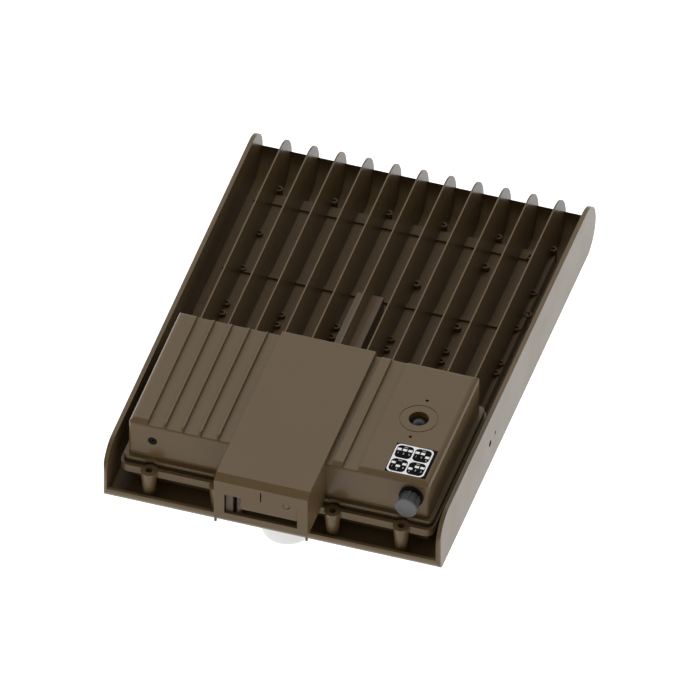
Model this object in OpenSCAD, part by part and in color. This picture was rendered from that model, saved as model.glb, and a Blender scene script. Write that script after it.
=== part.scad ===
/* [Shell] */
// Width over the two side walls
shell_w = 305; // [300:1:330]
// Length from the arm end to the tips of the fins
shell_l = 440; // [430:1:480]
// Height of the side walls and fins
shell_h = 53.4; // [50:0.2:58]
// Thickness of a side wall
wall_t = 3.8; // [3:0.1:5]
// Thickness of the floor and of the scooped rear end
floor_t = 3.5; // [3:0.1:4.5]
// Height of the lip at the arm end
lip_h = 12.5; // [11:0.1:16]
// Thickness of the lip
lip_t = 3; // [2.5:0.1:4]
// Outside radius under the lip
toe_r = 10.5; // [9:0.1:11]
// Radius of the upper front corner of a side wall
brow_r = 25; // [18:0.5:27]
// Height of the scooped rear edge between the fins
tail_h = 28.2; // [24:0.1:30]
// Radius of the front outside edges
edge_r = 3.5; // [2:0.1:4]
// Radius of the lower outside edges
rim_r = 1; // [0.5:0.1:2]

/* [Fins] */
// Number of fins between the side walls
fin_count = 11; // [9:2:11]
// Thickness of a fin at its top edge
fin_tip_t = 1.3; // [1:0.1:2.2]
// Thickness of a fin at the floor
fin_root_t = 4.9; // [3.4:0.1:5.6]
// Gap between the tray flange and the front of the fins
fin_gap = 3; // [2:0.5:10]
// Height of the raised platform over the light modules
platform_h = 12; // [10:0.5:12]
// Gap between the platform's side and the shell's outer face
platform_margin = 13.5; // [12:0.5:15]
// Front edge of the platform
platform_y0 = 88; // [80:1:92]
// Gap between the platform's end rib and the rear tips
platform_tail = 44.5; // [44:0.5:50]
// Width of the end rib
end_rib_w = 12; // [8:0.5:16]
// Height of the ribs above the platform
rib_h = 2; // [1:0.5:3]
// Width of the middle rib
mid_rib_w = 4.5; // [3:0.5:8]
// Gap between the middle rib and the rear tips
mid_rib_back = 141; // [130:1:150]
// Gap between the thin rail on the right and the shell's outer face
rail_margin = 22.3; // [21:0.1:23]
// Width of the thin rail
rail_w = 2; // [1.5:0.1:2.4]
// Height of the rail above the platform
rail_h = 1.5; // [1:0.1:3]
// Width of the wireway that straddles the middle fin
wireway_w = 24; // [20:1:30]
// Gap between the wireway and the rear tips
wireway_back = 159; // [140:1:190]
// Height of the wireway's top above the shell's underside
wireway_h = 33; // [28:0.5:38]

/* [Driver housing] */
// Gap between the tray flange and the shell's outer face
flange_margin = 10.5; // [9:0.5:11]
// Front edge of the tray flange
flange_y0 = 12; // [11.5:0.1:12.5]
// Rear edge of the tray flange
flange_y1 = 171; // [171:1:180]
// Underside of the tray flange above the shell's underside
flange_z0 = 27; // [25:0.5:28]
// Thickness of the tray flange
flange_t = 7.5; // [6:0.5:9]
// Corner radius of the tray flange
flange_r = 8; // [6:0.5:10]
// Wall of the tray
tray_t = 3; // [2:0.1:3.5]
// Thickness of the rubber seal between tray and cover
seal_t = 2.5; // [2:0.1:3]
// Width of the rubber seal
seal_w = 5; // [4:0.5:6]
// Thickness of the cover's lip
cover_lip_t = 3.5; // [3:0.1:5]
// How far the cover's lip stands out from its walls
cover_lip_w = 4; // [3:0.1:4]
// Front face of the cover
cover_y0 = 21; // [21:0.1:22]
// Gap between the cover's side and the shell's outer face
cover_margin = 16.5; // [16:0.5:18]
// Top of the cover above the shell's underside
cover_top = 80; // [78:0.5:90]
// Wall of the cover
cover_t = 2.5; // [2:0.1:3]
// Radius along the cover's top edges
cover_r = 5.3; // [4:0.1:6]
// Radius of the cover's upright corners
cover_corner_r = 3; // [2:0.1:4]
// Depth of the flutes in the cover
flute_d = 3.2; // [2:0.1:4]
// Distance between the thin ribs of the flutes
flute_pitch = 16; // [14:0.5:17]
// Thickness of a thin rib
flute_rib_t = 1.8; // [1.2:0.1:3]
// Plain margin outside the flutes
flute_margin = 17; // [14:0.5:20]
// Groove beside the bracket on the right
groove_w = 5.6; // [4:0.1:8]
// Raised band on the right
band_w = 9; // [6:0.5:12]
// Wide recess on the right
recess_w = 14.5; // [10:0.5:18]

/* [Tray fixings] */
// Outer pair of screw tubes, from the flange's side
tube_in = 28; // [24:0.5:32]
// Inner pair of screw tubes, from the middle
tube_x_inner = 52; // [51:0.5:60]
// Centre of the screw tubes from the arm end
tube_y = 11.3; // [11:0.1:11.6]
// Radius of a screw tube at its top
tube_r_top = 7.4; // [6.8:0.1:7.6]
// Radius of a screw tube at its foot
tube_r_foot = 5; // [4.4:0.1:6]
// Radius of the open bore at the top of a screw tube
tube_bore_r = 3.2; // [3:0.1:3.6]
// Radius of the screws in the tubes
tube_screw_r = 2; // [1.5:0.1:2.2]

/* [Arm bracket] */
// Width of the bracket
bracket_w = 84.8; // [80:0.2:90]
// Reach of the bracket beyond the lip
reach = 30; // [26:0.5:36]
// Height of the bracket's lower edge
bracket_z0 = 37.5; // [36:0.5:39]
// Thickness of the bracket's plate on the cover
bracket_plate_t = 3; // [2.5:0.1:4]
// Wall of the bracket
bracket_t = 3; // [2.5:0.1:3.5]
// Length of the sloped front edge
bracket_slope = 8; // [5:0.5:10]
// Width of the arm window
window_w = 66; // [60:1:70]
// Lower edge of the arm window
window_z0 = 44.4; // [43:0.1:46]
// Upper edge of the arm window
window_z1 = 65.8; // [64:0.1:68]
// Height of the free slot under the clamp jaw
slot_h = 7.8; // [6:0.1:9]
// Depth of the clamp jaw
jaw_l = 12; // [9:0.5:15]
// Left end of the clamp jaw
jaw_x0 = -18.5; // [-19:0.1:-18]
// Radius of the clamp bolt
bolt_r = 2.7; // [2.4:0.1:2.8]
// Width of the guide post
post_w = 6.2; // [5:0.1:6.4]
// Place of the arm set screw, from the middle
set_screw_x = 23.2; // [20:0.1:26]
// Height of the arm set screw above the window's upper edge
set_screw_rise = 1.6; // [1:0.1:2.5]
// Radius of the arm set screw
set_screw_r = 2.7; // [2.4:0.1:3]
// Height of the set screw over the middle of its hole
set_screw_lift = 0.5; // [0:0.1:0.7]
// Width of the slit in the bracket's end
slit_w = 1.2; // [0.8:0.1:2]
// Radius of the two small pegs under the bracket
peg_r = 1.2; // [0.8:0.1:1.4]
// Length of the pegs
peg_l = 5.6; // [2:0.1:6]

/* [Photocell position] */
// Centre of the photocell position, from the cover's side
cell_in = 33.8; // [30:0.1:36]
// Centre of the photocell position, from the arm end
cell_y = 97.6; // [96:0.1:110]
// Radius of the cable hole
cell_r = 8.8; // [7:0.1:9]
// Radius of the shallow ring round the hole
cell_ring_r = 17; // [15:0.1:19]
// Distance between the two photocell screw holes
cell_pitch = 47.7; // [44:0.1:50]
// Radius of the photocell screw holes
cell_screw_r = 1.5; // [1.2:0.1:2]

/* [Switch and vent] */
// Centre of the switch cap, from the cover's side
cap_in = 15.7; // [15:0.1:19]
// Centre height of the switch cap
cap_z = 62.8; // [60:0.1:63.3]
// Radius of the cap's front
cap_r = 9.9; // [9:0.1:11]
// Length of the cap
cap_l = 13.7; // [10:0.1:14]
// Radius of the threaded collar
collar_r = 7.8; // [7.2:0.1:8]
// Radius of the rubber ring under the cap
ring_r = 10.8; // [10.5:0.1:12]
// Thickness of the rubber ring
ring_t = 2.6; // [2:0.1:3]
// Travel of a switch lever
lever_travel = 1.8; // [1:0.1:2]
// Distance between the switch levers
lever_pitch = 2.54; // [2.3:0.02:2.6]
// Centre of the vent, from the cover's side
vent_in = 21.9; // [18:0.1:28]
// Centre height of the vent
vent_z = 60.1; // [55:0.1:64]
// Radius of the vent plug
vent_r = 4; // [3:0.1:5]
// Side of the settings label
label_w = 37; // [34:0.5:37]
// Gap between the label and the rounded side edge of the cover
label_side_gap = 0; // [0:0.1:3]
// Gap between the label and the rounded front edge of the cover
label_front_gap = 0.2; // [0:0.1:6]

/* [Light modules] */
// Thickness of the lens frame under the shell
frame_t = 2.5; // [2:0.1:4]
// Gap between the lens frame and the shell's outer face
frame_margin = 7; // [6:0.5:10]
// Height of a lens above its plate
dome_h = 4.5; // [3:0.1:5]
// Radius of a lens at its plate
dome_r = 6; // [5:0.1:6.4]
// Lenses across a module
dome_cols = 5; // [3:1:5]
// Lenses along a module
dome_rows = 8; // [4:1:8]
// Gap between the outer lenses and the frame's windows
dome_gap = 0.5; // [0.3:0.1:2]
// Gap between the pockets' side and the shell's outer face
pocket_margin = 34.5; // [33:0.5:37]
// Front edge of the front pocket
pocket_y0 = 99; // [98:0.5:101]
// Gap between the front and the rear pocket
pocket_gap = 36; // [34:0.5:37]
// Gap between the rear pocket and the platform's rear edge
pocket_end = 4.5; // [3:0.1:6]
// Radius of the small screw bosses beside the fins
boss_r = 3.2; // [2.8:0.1:3.6]
// Radius of the lens frame screws
frame_screw_r = 1.4; // [1.2:0.1:1.6]

/* [Sensor] */
// Centre of the sensor from the arm end
sensor_y = 46.5; // [46:0.5:52]
// Radius of the sensor head at its top
sensor_r = 25; // [22:0.5:28]
// Radius of the sensor head at its foot
sensor_foot_r = 22.7; // [20:0.1:24]
// Reach of the sensor below the shell
sensor_drop = 34; // [28:0.5:40]

/* [Yoke holes] */
// Distance of the yoke hole from the arm end
yoke_y = 142; // [130:1:150]
// Height of the yoke holes
yoke_z = 25.4; // [24:0.1:28]
// Radius of the yoke hole
yoke_r = 3.2; // [2.5:0.1:4]
// Distance from the yoke hole to the small hole behind it
yoke_pitch = 14.6; // [12:0.1:18]
// Radius of the small hole
yoke_pilot_r = 1.75; // [1.5:0.05:2.2]

/* [Hidden] */
$fn = 64;
over = 1;          // overrun of every cut
fit_gap = 0.2;     // clearance between a piece and its seat
run_gap = 0.08;    // radial running clearance of turned pieces
body_gap = 0.3;    // clearance between pieces that move past each other
thread_gap = 0.05; // radial clearance of a screw in its thread
half_shares = [-0.5, 0.5];
socket_z = (window_z0 + window_z1) / 2;

// Shell values
tail_r = shell_h / 2;
tail_y = shell_l - tail_r;
toe_in_r = toe_r - floor_t;
fin_y0 = flange_y1 + fin_gap;
fin_pitch = (shell_w - 2 * wall_t) / (fin_count + 1);
fin_side = (fin_count - 1) / 2;
platform_w = shell_w - 2 * platform_margin;
boss_rise = 3.5;
boss_top = platform_h + boss_rise;
boss_step = 13;
boss_rear_back = 40;
boss_mid_in = 11;
boss_front_in = 6;
platform_y1 = shell_l - platform_tail;
pocket_w = shell_w - 2 * pocket_margin;
pocket_l = (platform_y1 - pocket_end - pocket_y0 - pocket_gap) / 2;
pocket_step = pocket_l + pocket_gap;
mid_rib_y = shell_l - mid_rib_back;
rib_x1 = fin_side * fin_pitch;
rail_x1 = shell_w / 2 - rail_margin;
wireway_y = shell_l - wireway_back;
boss_row_rear = shell_l - boss_rear_back;
boss_row_mid = pocket_y0 + pocket_step - boss_mid_in;
boss_row_front = platform_y0 + boss_front_in;
boss_off = 3;
boss_hole_r = frame_screw_r + run_gap;
post_boss_r = 4;
post_boss_rise = 4.5;
post_boss_top = platform_h + post_boss_rise;
edge_boss_backs = [142, 95.5];
post_backs = [[1, 116.2], [3, 77], [3, 157]]; // fin and gap to the rear tips
edge_boss_in = 2.9;
edge_boss_out = 8.9;
tail_slope_share = 1.2;
tail_lip_h = tail_h - tail_slope_share * (floor_t + over);

// Driver housing values
flange_x = shell_w / 2 - flange_margin;
flange_z1 = flange_z0 + flange_t;
pan_inset = 8;
pan_front = 12;
pan_y0 = flange_y0 + pan_front;
seal_inset = 2.5;
seal_front = 4;
seal_y0 = flange_y0 + seal_front;
seal_z1 = flange_z1 + seal_t;
cover_x = shell_w / 2 - cover_margin;
cover_rear = 6;
cover_y1 = flange_y1 - cover_rear;
cover_z0 = seal_z1;
relief_r = tube_r_top + fit_gap;
plain_x0 = bracket_w / 2 + groove_w + band_w + recess_w;
flute_r = 1.5;
flute_floor = cover_top - flute_d;
cavity_top = flute_floor - cover_t;
tube_x_outer = flange_x - tube_in;
tubes = [-tube_x_outer, -tube_x_inner, tube_x_inner, tube_x_outer];
tube_foot_z = 5;
tube_pad_rim = 0.6;
tube_pad_r = tube_r_foot + tube_pad_rim;
tube_seat_z = 9;
tube_screw_head_r = tube_bore_r - fit_gap;
tube_screw_head_h = 3.6;
screw_bite = 1;
ring_groove_w = 0.8;
ring_groove_d = 0.5;
vent_plug_d = 0.6;
vent_hole_r = 1;
vent_flange_w = 1.5;
vent_flange_r = vent_r + vent_flange_w;
vent_flange_t = 2;

// Bracket values
bracket_x = bracket_w / 2;
bracket_top = cover_top + bracket_plate_t;
bracket_floor_t = 3.4;
bracket_floor_z = bracket_z0 + bracket_floor_t;
bracket_r = 2.5;
window_x = window_w / 2;
jaw_z0 = window_z0 + slot_h;
jaw_z1 = window_z1 - body_gap;
jaw_x1 = window_x - body_gap;
jaw_sink = 0.8;
jaw_y0 = -reach + jaw_sink;
jaw_lug_h = 6;
jaw_lug_r = 4.2;
bolt_x = jaw_x0 - bolt_r - body_gap;
bolt_y = -reach + bracket_t + jaw_lug_r + body_gap;
bolt_head_r = 4;
bolt_head_h = 1;
bolt_socket_r = 1.7;
bolt_socket_d = 2.4;
jaw_lug_rise = 1;
jaw_lug_z0 = window_z1 + jaw_lug_rise;
jaw_neck_w = 8;
post_x0 = -window_x + 2 * body_gap;
post_y0 = -reach + bracket_t + fit_gap;
set_screw_z = window_z1 + set_screw_rise;
set_screw_l = 12;
set_hole_r = set_screw_r + set_screw_lift + 2 * thread_gap;
set_notch_r = set_hole_r + body_gap;
lead_x = 0;
lead_z = 64;
lead_r = 1.4;
lead_pitch = 3.2;
grommet_r = 6.5;
bracket_screw_r = 1.9;
bracket_screw_head_r = 3.4;
bracket_screw_head_h = 2;
bracket_screw_in = 12;
bracket_screw_front = 36;
bracket_screw_rear = 24;
bracket_screw_cap = 0.8;

// Cap, switch and plug values
cell_x = cover_x - cell_in;
cap_x = cover_x - cap_in;
vent_x = cover_x - vent_in;
label_x = cover_x - cover_r - label_side_gap - label_w / 2;
label_y = cover_y0 + cover_r + label_front_gap + label_w / 2;
ring_y1 = cover_y0 - body_gap;
ring_y0 = ring_y1 - ring_t;
cap_y1 = ring_y0 - body_gap;
cap_y0 = cap_y1 - cap_l;
cap_face_t = 4;
cap_end_t = 1.6;
cap_step = 0.9;
cap_body_r = cap_r - cap_step;
cap_grip_r = 1.1;
cap_grips = 8;
collar_in_r = 6.2;
collar_y0 = cap_y0 + cap_end_t + body_gap;
collar_flange_r = 10;
collar_flange_t = 1.6;
block_w = 8;
block_sink = 2.5;
block_y0 = collar_y0 + block_sink;
lever_w = 1.3;
lever_l = 1.5;
lever_stem_d = 1;
lever_side_gap = 0.1;
label_t = 0.3;
plug_sink = 6;
plug_skirt_r = cell_r - body_gap;
plug_l = 7;
cell_boss_t = 2.5;
cell_seat_t = 1.5;
cell_seat_w = 2.2;
cell_boss_l = plug_sink + plug_l + fit_gap + cell_seat_t;

// Light module values
board_gap = 0.4;
gasket_t = 1;
plate_t = 2.5;
board_t = 1.6;
pocket_h = gasket_t + plate_t + board_gap + board_t;
module_gap = 1;
module_cols = 3;
module_w = pocket_w / module_cols;
frame_rim = 6;
dome_edge = frame_rim + dome_r + dome_gap;
dome_pitch_x = (module_w - 2 * dome_edge) / (dome_cols - 1);
dome_pitch_y = (pocket_l - 2 * dome_edge) / (dome_rows - 1);
frame_lead = 2;
frame_tail = 7;
frame_y0 = platform_y0 - frame_lead;
frame_y1 = boss_row_rear + frame_tail;
frame_corner_r = 6;
frame_head_r = 2.6;
frame_head_h = 1.5;
dome_ball_r = (dome_r * dome_r + dome_h * dome_h) / (2 * dome_h);

// Driver values
pan_z1 = platform_h + tray_t;
driver_w = 60;
driver_h = 34;
driver_r = 4;
driver_gap = 5;
driver_tab_l = 8;
driver_tab_t = 1.5;
driver_screw_r = 1.5;
driver_head_r = 3;
driver_head_h = 2;
driver_end_gap = 3;
driver_y0 = pan_y0 + tray_t + driver_tab_l;
driver_l = flange_y1 - pan_inset - tray_t - driver_tab_l - driver_end_gap - driver_y0;
driver_tab_w = 30;
driver_tab_in = 4;
surge_w = 46;
surge_l = 30;
surge_h = 26;
surge_gap = 8;
terminal_w = 42;
terminal_l = 16;
terminal_h = 14;
terminal_gap = 1;
terminal_y0 = pan_y0 + tray_t + terminal_gap;
terminal_bite = 4;
surge_y0 = terminal_y0 + terminal_l + surge_gap;

// Sensor values
sensor_neck_r = 14.8;
sensor_seal_t = 1;
sensor_base_r = 26;
sensor_base_h = 3.5;
sensor_spigot_r = 11;
sensor_spigot_h = 8;
sensor_head_z1 = -sensor_seal_t - sensor_base_h - body_gap;
sensor_edge_r = 5;
sensor_nut_r = 19;
sensor_nut_h = 3.6;
sensor_collar_h = 7;
sensor_wall_t = 2;
sensor_board_z1 = sensor_head_z1 - sensor_wall_t - thread_gap;
sensor_board_r = sensor_foot_r - sensor_wall_t - over - fit_gap;
sensor_eye_r = 4;
sensor_eye_h = 3.2;

// Draws its children, measured from the shell's lower front edge, with the
// middle of the arm window's mouth as the origin
module from_socket() {
    translate([0, reach, -socket_z]) children();
}

// Extrudes a side outline, drawn as [y, z], from x0 to x1
module along_x(x0, x1) {
    translate([x0, 0, 0]) rotate([90, 0, 90]) linear_extrude(x1 - x0) children();
}

// Extrudes a front outline, drawn as [x, z], from y0 to y1
module along_y(y0, y1) {
    translate([0, y1, 0]) rotate([90, 0, 0]) linear_extrude(y1 - y0) children();
}

// A box from its two corners
module span(a, b) {
    translate(a) cube(b - a);
}

// A rectangle from its two corners with four round corners
module round_rect(a, b, r) {
    translate([a[0] + r, a[1]]) square([b[0] - a[0] - 2 * r, b[1] - a[1]]);
    translate([a[0], a[1] + r]) square([b[0] - a[0], b[1] - a[1] - 2 * r]);
    for (x = [a[0] + r, b[0] - r]) for (y = [a[1] + r, b[1] - r]) translate([x, y]) circle(r);
}

// An upright block with round corners
module round_block(a, b, r) {
    translate([0, 0, a[2]]) linear_extrude(b[2] - a[2]) round_rect([a[0], a[1]], [b[0], b[1]], r);
}

// An upright rod between two heights
module rod(x, y, z0, z1, r) {
    translate([x, y, z0]) cylinder(h = z1 - z0, r = r);
}

// A rod that points at the arm end, between two lengths
module rod_y(x, z, y0, y1, r) {
    translate([x, y1, z]) rotate([90, 0, 0]) cylinder(h = y1 - y0, r = r);
}

// Side outline of a shell wall
module wall_outline() {
    translate([brow_r, 0]) square([tail_y - brow_r, shell_h]);
    translate([toe_r, 0]) square([brow_r, toe_r]);
    translate([0, toe_r]) square([brow_r, shell_h - brow_r - toe_r]);
    translate([brow_r, shell_h - brow_r]) circle(brow_r);
    translate([toe_r, toe_r]) circle(toe_r);
    translate([tail_y, tail_r]) circle(tail_r);
}

// Side outline of the space over the floor
module space_outline() {
    translate([lip_t + toe_in_r, floor_t]) square([tail_y - lip_t - toe_in_r, shell_h]);
    translate([lip_t, floor_t + toe_in_r]) square([brow_r, shell_h]);
    translate([lip_t + toe_in_r, floor_t + toe_in_r]) circle(toe_in_r);
    translate([tail_y, tail_r]) circle(tail_r - floor_t);
}

// Side outline of the floor with the lip and the scooped tail
module floor_outline() {
    intersection() {
        difference() {
            wall_outline();
            space_outline();
        }
        union() {
            square([tail_y, lip_h]);
            polygon([
                [tail_y - over, 0],
                [shell_l + over, 0],
                [shell_l + over, tail_lip_h],
                [shell_l - floor_t, tail_h],
                [tail_y - over, tail_h]
            ]);
        }
    }
}

// A block over the whole shell with its lower and front outside edges rounded
module edge_block() {
    intersection() {
        along_y(-over, shell_l + over) union() {
            translate([-shell_w / 2, rim_r]) square([shell_w, shell_h]);
            round_rect([-shell_w / 2, 0], [shell_w / 2, shell_h], rim_r);
        }
        translate([0, 0, -over]) linear_extrude(shell_h + 2 * over) union() {
            translate([-shell_w / 2, edge_r]) square([shell_w, shell_l]);
            round_rect([-shell_w / 2, 0], [shell_w / 2, shell_l], edge_r);
        }
    }
}

// One fin, wider at its root
module fin(x) {
    intersection() {
        along_x(x - fin_root_t, x + fin_root_t) intersection() {
            wall_outline();
            translate([fin_y0, 0]) square([shell_l, shell_h]);
        }
        along_y(fin_y0 - over, shell_l + over) polygon([
            [x - fin_root_t / 2, 0],
            [x + fin_root_t / 2, 0],
            [x + fin_tip_t / 2, shell_h],
            [x - fin_tip_t / 2, shell_h]
        ]);
    }
}

// Places of the screws that hold the lens frame
function frame_spots() = concat(
    [for (y = [boss_row_front, boss_row_mid - boss_step, boss_row_mid, boss_row_rear])
        for (n = [-fin_side:2:fin_side]) [n * fin_pitch + boss_off, y]],
    [for (b = edge_boss_backs) for (x = [-pocket_w / 2 - edge_boss_in, pocket_w / 2 + edge_boss_out])
        [x, shell_l - b]]
);

// Height of the boss top at a place along the shell
function boss_z(y) = y > platform_y1 ? boss_top + rib_h : y < flange_y1 ? platform_h : boss_top;

// Bores for the yoke in one side wall
module yoke_bores() {
    for (b = [[yoke_y, yoke_r], [yoke_y + yoke_pitch, yoke_pilot_r]])
        translate([-shell_w / 2 - over, b[0], yoke_z]) rotate([0, 90, 0])
            cylinder(h = shell_w + 2 * over, r = b[1]);
}

module heat_sink() {
    color("#463a2e") from_socket() difference() {
        union() {
            intersection() {
                union() {
                    along_x(-shell_w / 2, -shell_w / 2 + wall_t) wall_outline();
                    along_x(shell_w / 2 - wall_t, shell_w / 2) wall_outline();
                    along_x(-shell_w / 2 + wall_t / 2, shell_w / 2 - wall_t / 2) floor_outline();
                }
                edge_block();
            }
            span([-platform_w / 2, platform_y0, 0], [platform_w / 2, platform_y1, platform_h]);
            span([-platform_w / 2, platform_y1 - end_rib_w, 0], [rib_x1, platform_y1, platform_h + rib_h]);
            span([-platform_w / 2, mid_rib_y - mid_rib_w, 0], [rib_x1, mid_rib_y, platform_h + rib_h]);
            span([rail_x1 - rail_w, fin_y0, 0], [rail_x1, platform_y1, platform_h + rail_h]);
            span([-wireway_w / 2, fin_y0, 0], [wireway_w / 2, wireway_y, wireway_h]);
            for (n = [-fin_side:fin_side]) fin(n * fin_pitch);
            for (x = tubes) rod(x, tube_y, floor_t - over, tube_foot_z, tube_pad_r);
            for (p = frame_spots()) rod(p[0], p[1], 0, boss_z(p[1]), boss_r);
            for (p = post_backs)
                rod(p[0] * fin_pitch + boss_off, shell_l - p[1], 0, post_boss_top, post_boss_r);
        }
        span([rail_x1, fin_y0, floor_t], [platform_w / 2 + over, platform_y1 + over, platform_h + over]);
        for (k = [0, 1])
            span([-pocket_w / 2, pocket_y0 + k * pocket_step, -over],
                [pocket_w / 2, pocket_y0 + k * pocket_step + pocket_l, pocket_h]);
        for (p = frame_spots()) rod(p[0], p[1], -over, boss_z(p[1]) + over, boss_hole_r);
        for (p = post_backs)
            rod(p[0] * fin_pitch + boss_off, shell_l - p[1], platform_h, post_boss_top + over, boss_hole_r);
        yoke_bores();
        rod(0, sensor_y, -over, floor_t + over, sensor_neck_r + fit_gap);
        for (x = tubes) rod(x, tube_y, screw_bite - fit_gap, tube_foot_z + over, tube_screw_r + fit_gap);
    }
}

module driver_tray() {
    color("#6b5e4c") from_socket() difference() {
        union() {
            round_block([-flange_x, flange_y0, flange_z0], [flange_x, flange_y1, flange_z1], flange_r);
            span([-flange_x + pan_inset, pan_y0, platform_h],
                [flange_x - pan_inset, flange_y1 - pan_inset, flange_z1]);
            for (x = tubes) translate([x, tube_y, tube_foot_z])
                cylinder(h = flange_z1 - tube_foot_z, r1 = tube_r_foot, r2 = tube_r_top);
        }
        span([-flange_x + pan_inset + tray_t, pan_y0 + tray_t, pan_z1],
            [flange_x - pan_inset - tray_t, flange_y1 - pan_inset - tray_t, flange_z1 + over]);
        for (x = tubes) {
            rod(x, tube_y, tube_seat_z, flange_z1 + over, tube_bore_r);
            rod(x, tube_y, tube_foot_z - over, tube_seat_z + over, tube_screw_r + fit_gap);
        }
        for (p = driver_screw_spots()) rod(p[0], p[1], platform_h + over, pan_z1 + over, driver_screw_r);
    }
}

module tray_screws() {
    color("#8d8f92") from_socket() for (x = tubes) {
        rod(x, tube_y, screw_bite, tube_seat_z, tube_screw_r);
        rod(x, tube_y, tube_seat_z, tube_seat_z + tube_screw_head_h, tube_screw_head_r);
    }
}

module cover_seal() {
    color("#1c1b1a") from_socket() difference() {
        round_block([-flange_x + seal_inset, seal_y0, flange_z1],
            [flange_x - seal_inset, flange_y1 - seal_inset, seal_z1], flange_r - seal_inset);
        span([-flange_x + seal_inset + seal_w, seal_y0 + seal_w, flange_z1 - over],
            [flange_x - seal_inset - seal_w, flange_y1 - seal_inset - seal_w, seal_z1 + over]);
        for (x = tubes) rod(x, tube_y, flange_z1 - over, seal_z1 + over, relief_r);
    }
}

// Side outline of the cover over the plain top
module cover_outline(top, r) {
    translate([cover_y0, cover_z0]) square([cover_y1 - cover_y0, top - r - cover_z0]);
    translate([cover_y0 + r, cover_z0]) square([cover_y1 - cover_y0 - 2 * r, top - cover_z0]);
    for (y = [cover_y0 + r, cover_y1 - r]) translate([y, top - r]) circle(r);
}

// Front outline of the cover
module cover_front_outline() {
    translate([-cover_x, cover_z0]) square([2 * cover_x, cover_top - cover_r - cover_z0]);
    translate([-cover_x + cover_r, cover_z0]) square([2 * (cover_x - cover_r), cover_top - cover_z0]);
    for (x = [-cover_x + cover_r, cover_x - cover_r]) translate([x, cover_top - cover_r]) circle(cover_r);
}

// Takes one flute or recess out of the cover's top
module flute(x0, x1) {
    along_x(x0, x1) difference() {
        translate([cover_y0 - over, cover_top - cover_r - flute_d])
            square([cover_y1 - cover_y0 + 2 * over, cover_r + flute_d + over]);
        cover_outline(flute_floor, flute_r);
    }
}

// The cover's box, hollow from below
module cover_box() {
    difference() {
        union() {
            intersection() {
                along_x(-cover_x - over, cover_x + over) cover_outline(cover_top, cover_r);
                along_y(cover_y0 - over, cover_y1 + over) cover_front_outline();
                round_block([-cover_x, cover_y0, cover_z0], [cover_x, cover_y1, cover_top + over],
                    cover_corner_r);
            }
            span([-bracket_x, cover_y1 - 2 * cover_r, cover_top - 2 * cover_r],
                [bracket_x, cover_y1, cover_top]);
        }
        span([-cover_x + cover_t, cover_y0 + cover_t, cover_z0 - over],
            [cover_x - cover_t, cover_y1 - cover_t, cavity_top]);
        span([plain_x0 + cover_t, cover_y0 + cover_t + cover_r, cavity_top - over],
            [cover_x - cover_t - cover_r, cover_y1 - cover_t - cover_r, cover_top - cover_t]);
    }
}

module driver_cover() {
    color("#6b5e4c") from_socket() difference() {
        union() {
            cover_box();
            rod(cell_x, cell_y, cover_top - cell_boss_l, cover_top - over, cell_r + cell_boss_t);
            round_block([-cover_x - cover_lip_w, cover_y0 - cover_lip_w, cover_z0],
                [cover_x + cover_lip_w, cover_y1 + cover_lip_w, cover_z0 + cover_lip_t],
                flange_r - seal_inset);
        }
        for (x = [-cover_x + flute_margin:flute_pitch:-bracket_x - 2 * flute_rib_t])
            flute(x, min(x + flute_pitch - flute_rib_t, -bracket_x));
        flute(bracket_x, bracket_x + groove_w);
        flute(plain_x0 - recess_w, plain_x0);
        span([-cover_x + cover_t, cover_y0 + cover_t, cover_z0 - over],
            [cover_x - cover_t, cover_y1 - cover_t, cover_z0 + cover_lip_t]);
        for (x = tubes) rod(x, tube_y, cover_z0 - over, cover_z0 + cover_lip_t + over, relief_r);
        rod(cell_x, cell_y, cover_top - cell_boss_l - over, cover_top, cell_r - cell_seat_w);
        rod(cell_x, cell_y, cover_top - cell_boss_l + cell_seat_t, cover_top + over, cell_r);
        difference() {
            rod(cell_x, cell_y, cover_top - ring_groove_d, cover_top + over, cell_ring_r);
            rod(cell_x, cell_y, cover_top - 2 * ring_groove_d, cover_top + 2 * over,
                cell_ring_r - ring_groove_w);
        }
        for (p = bracket_screw_spots())
            rod(p[0], p[1], cavity_top - over, cover_top + over, bracket_screw_r + fit_gap);
        for (s = half_shares)
            rod(cell_x, cell_y + s * cell_pitch, cavity_top - over, cover_top + over, cell_screw_r);
        rod_y(-vent_x, vent_z, cover_y0 - over, cover_y0 + cover_t + over, vent_r + fit_gap);
        rod_y(cap_x, cap_z, cover_y0 - over, cover_y0 + cover_t + over, collar_r + run_gap);
        rod_y(lead_x, lead_z, cover_y0 - over, cover_y0 + cover_t + over, grommet_r + fit_gap);
    }
}

// Places of the screws that hold the bracket from inside the cover
function bracket_screw_spots() = [for (x = [-bracket_x + bracket_screw_in, bracket_x - bracket_screw_in])
    for (y = [cover_y0 + bracket_screw_front, cover_y1 - bracket_screw_rear]) [x, y]];

// Side outline of the arm bracket
module bracket_outline() {
    lip_front = cover_y0 - cover_lip_w - fit_gap;
    lip_top = cover_z0 + cover_lip_t + fit_gap;
    polygon([
        [-reach, bracket_z0],
        [lip_front, bracket_z0],
        [lip_front, lip_top],
        [cover_y0 - fit_gap, lip_top],
        [cover_y0 - fit_gap, cover_top],
        [cover_y1, cover_top],
        [cover_y1, bracket_top - bracket_r],
        [cover_y1 - bracket_r, bracket_top - bracket_r],
        [cover_y1 - bracket_r, bracket_top],
        [-reach + bracket_slope, bracket_top],
        [-reach, cover_top]
    ]);
    intersection() {
        translate([cover_y1 - bracket_r, bracket_top - bracket_r]) circle(bracket_r);
        translate([cover_y1 - bracket_r, bracket_top - bracket_r]) square(bracket_r);
    }
}

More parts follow.
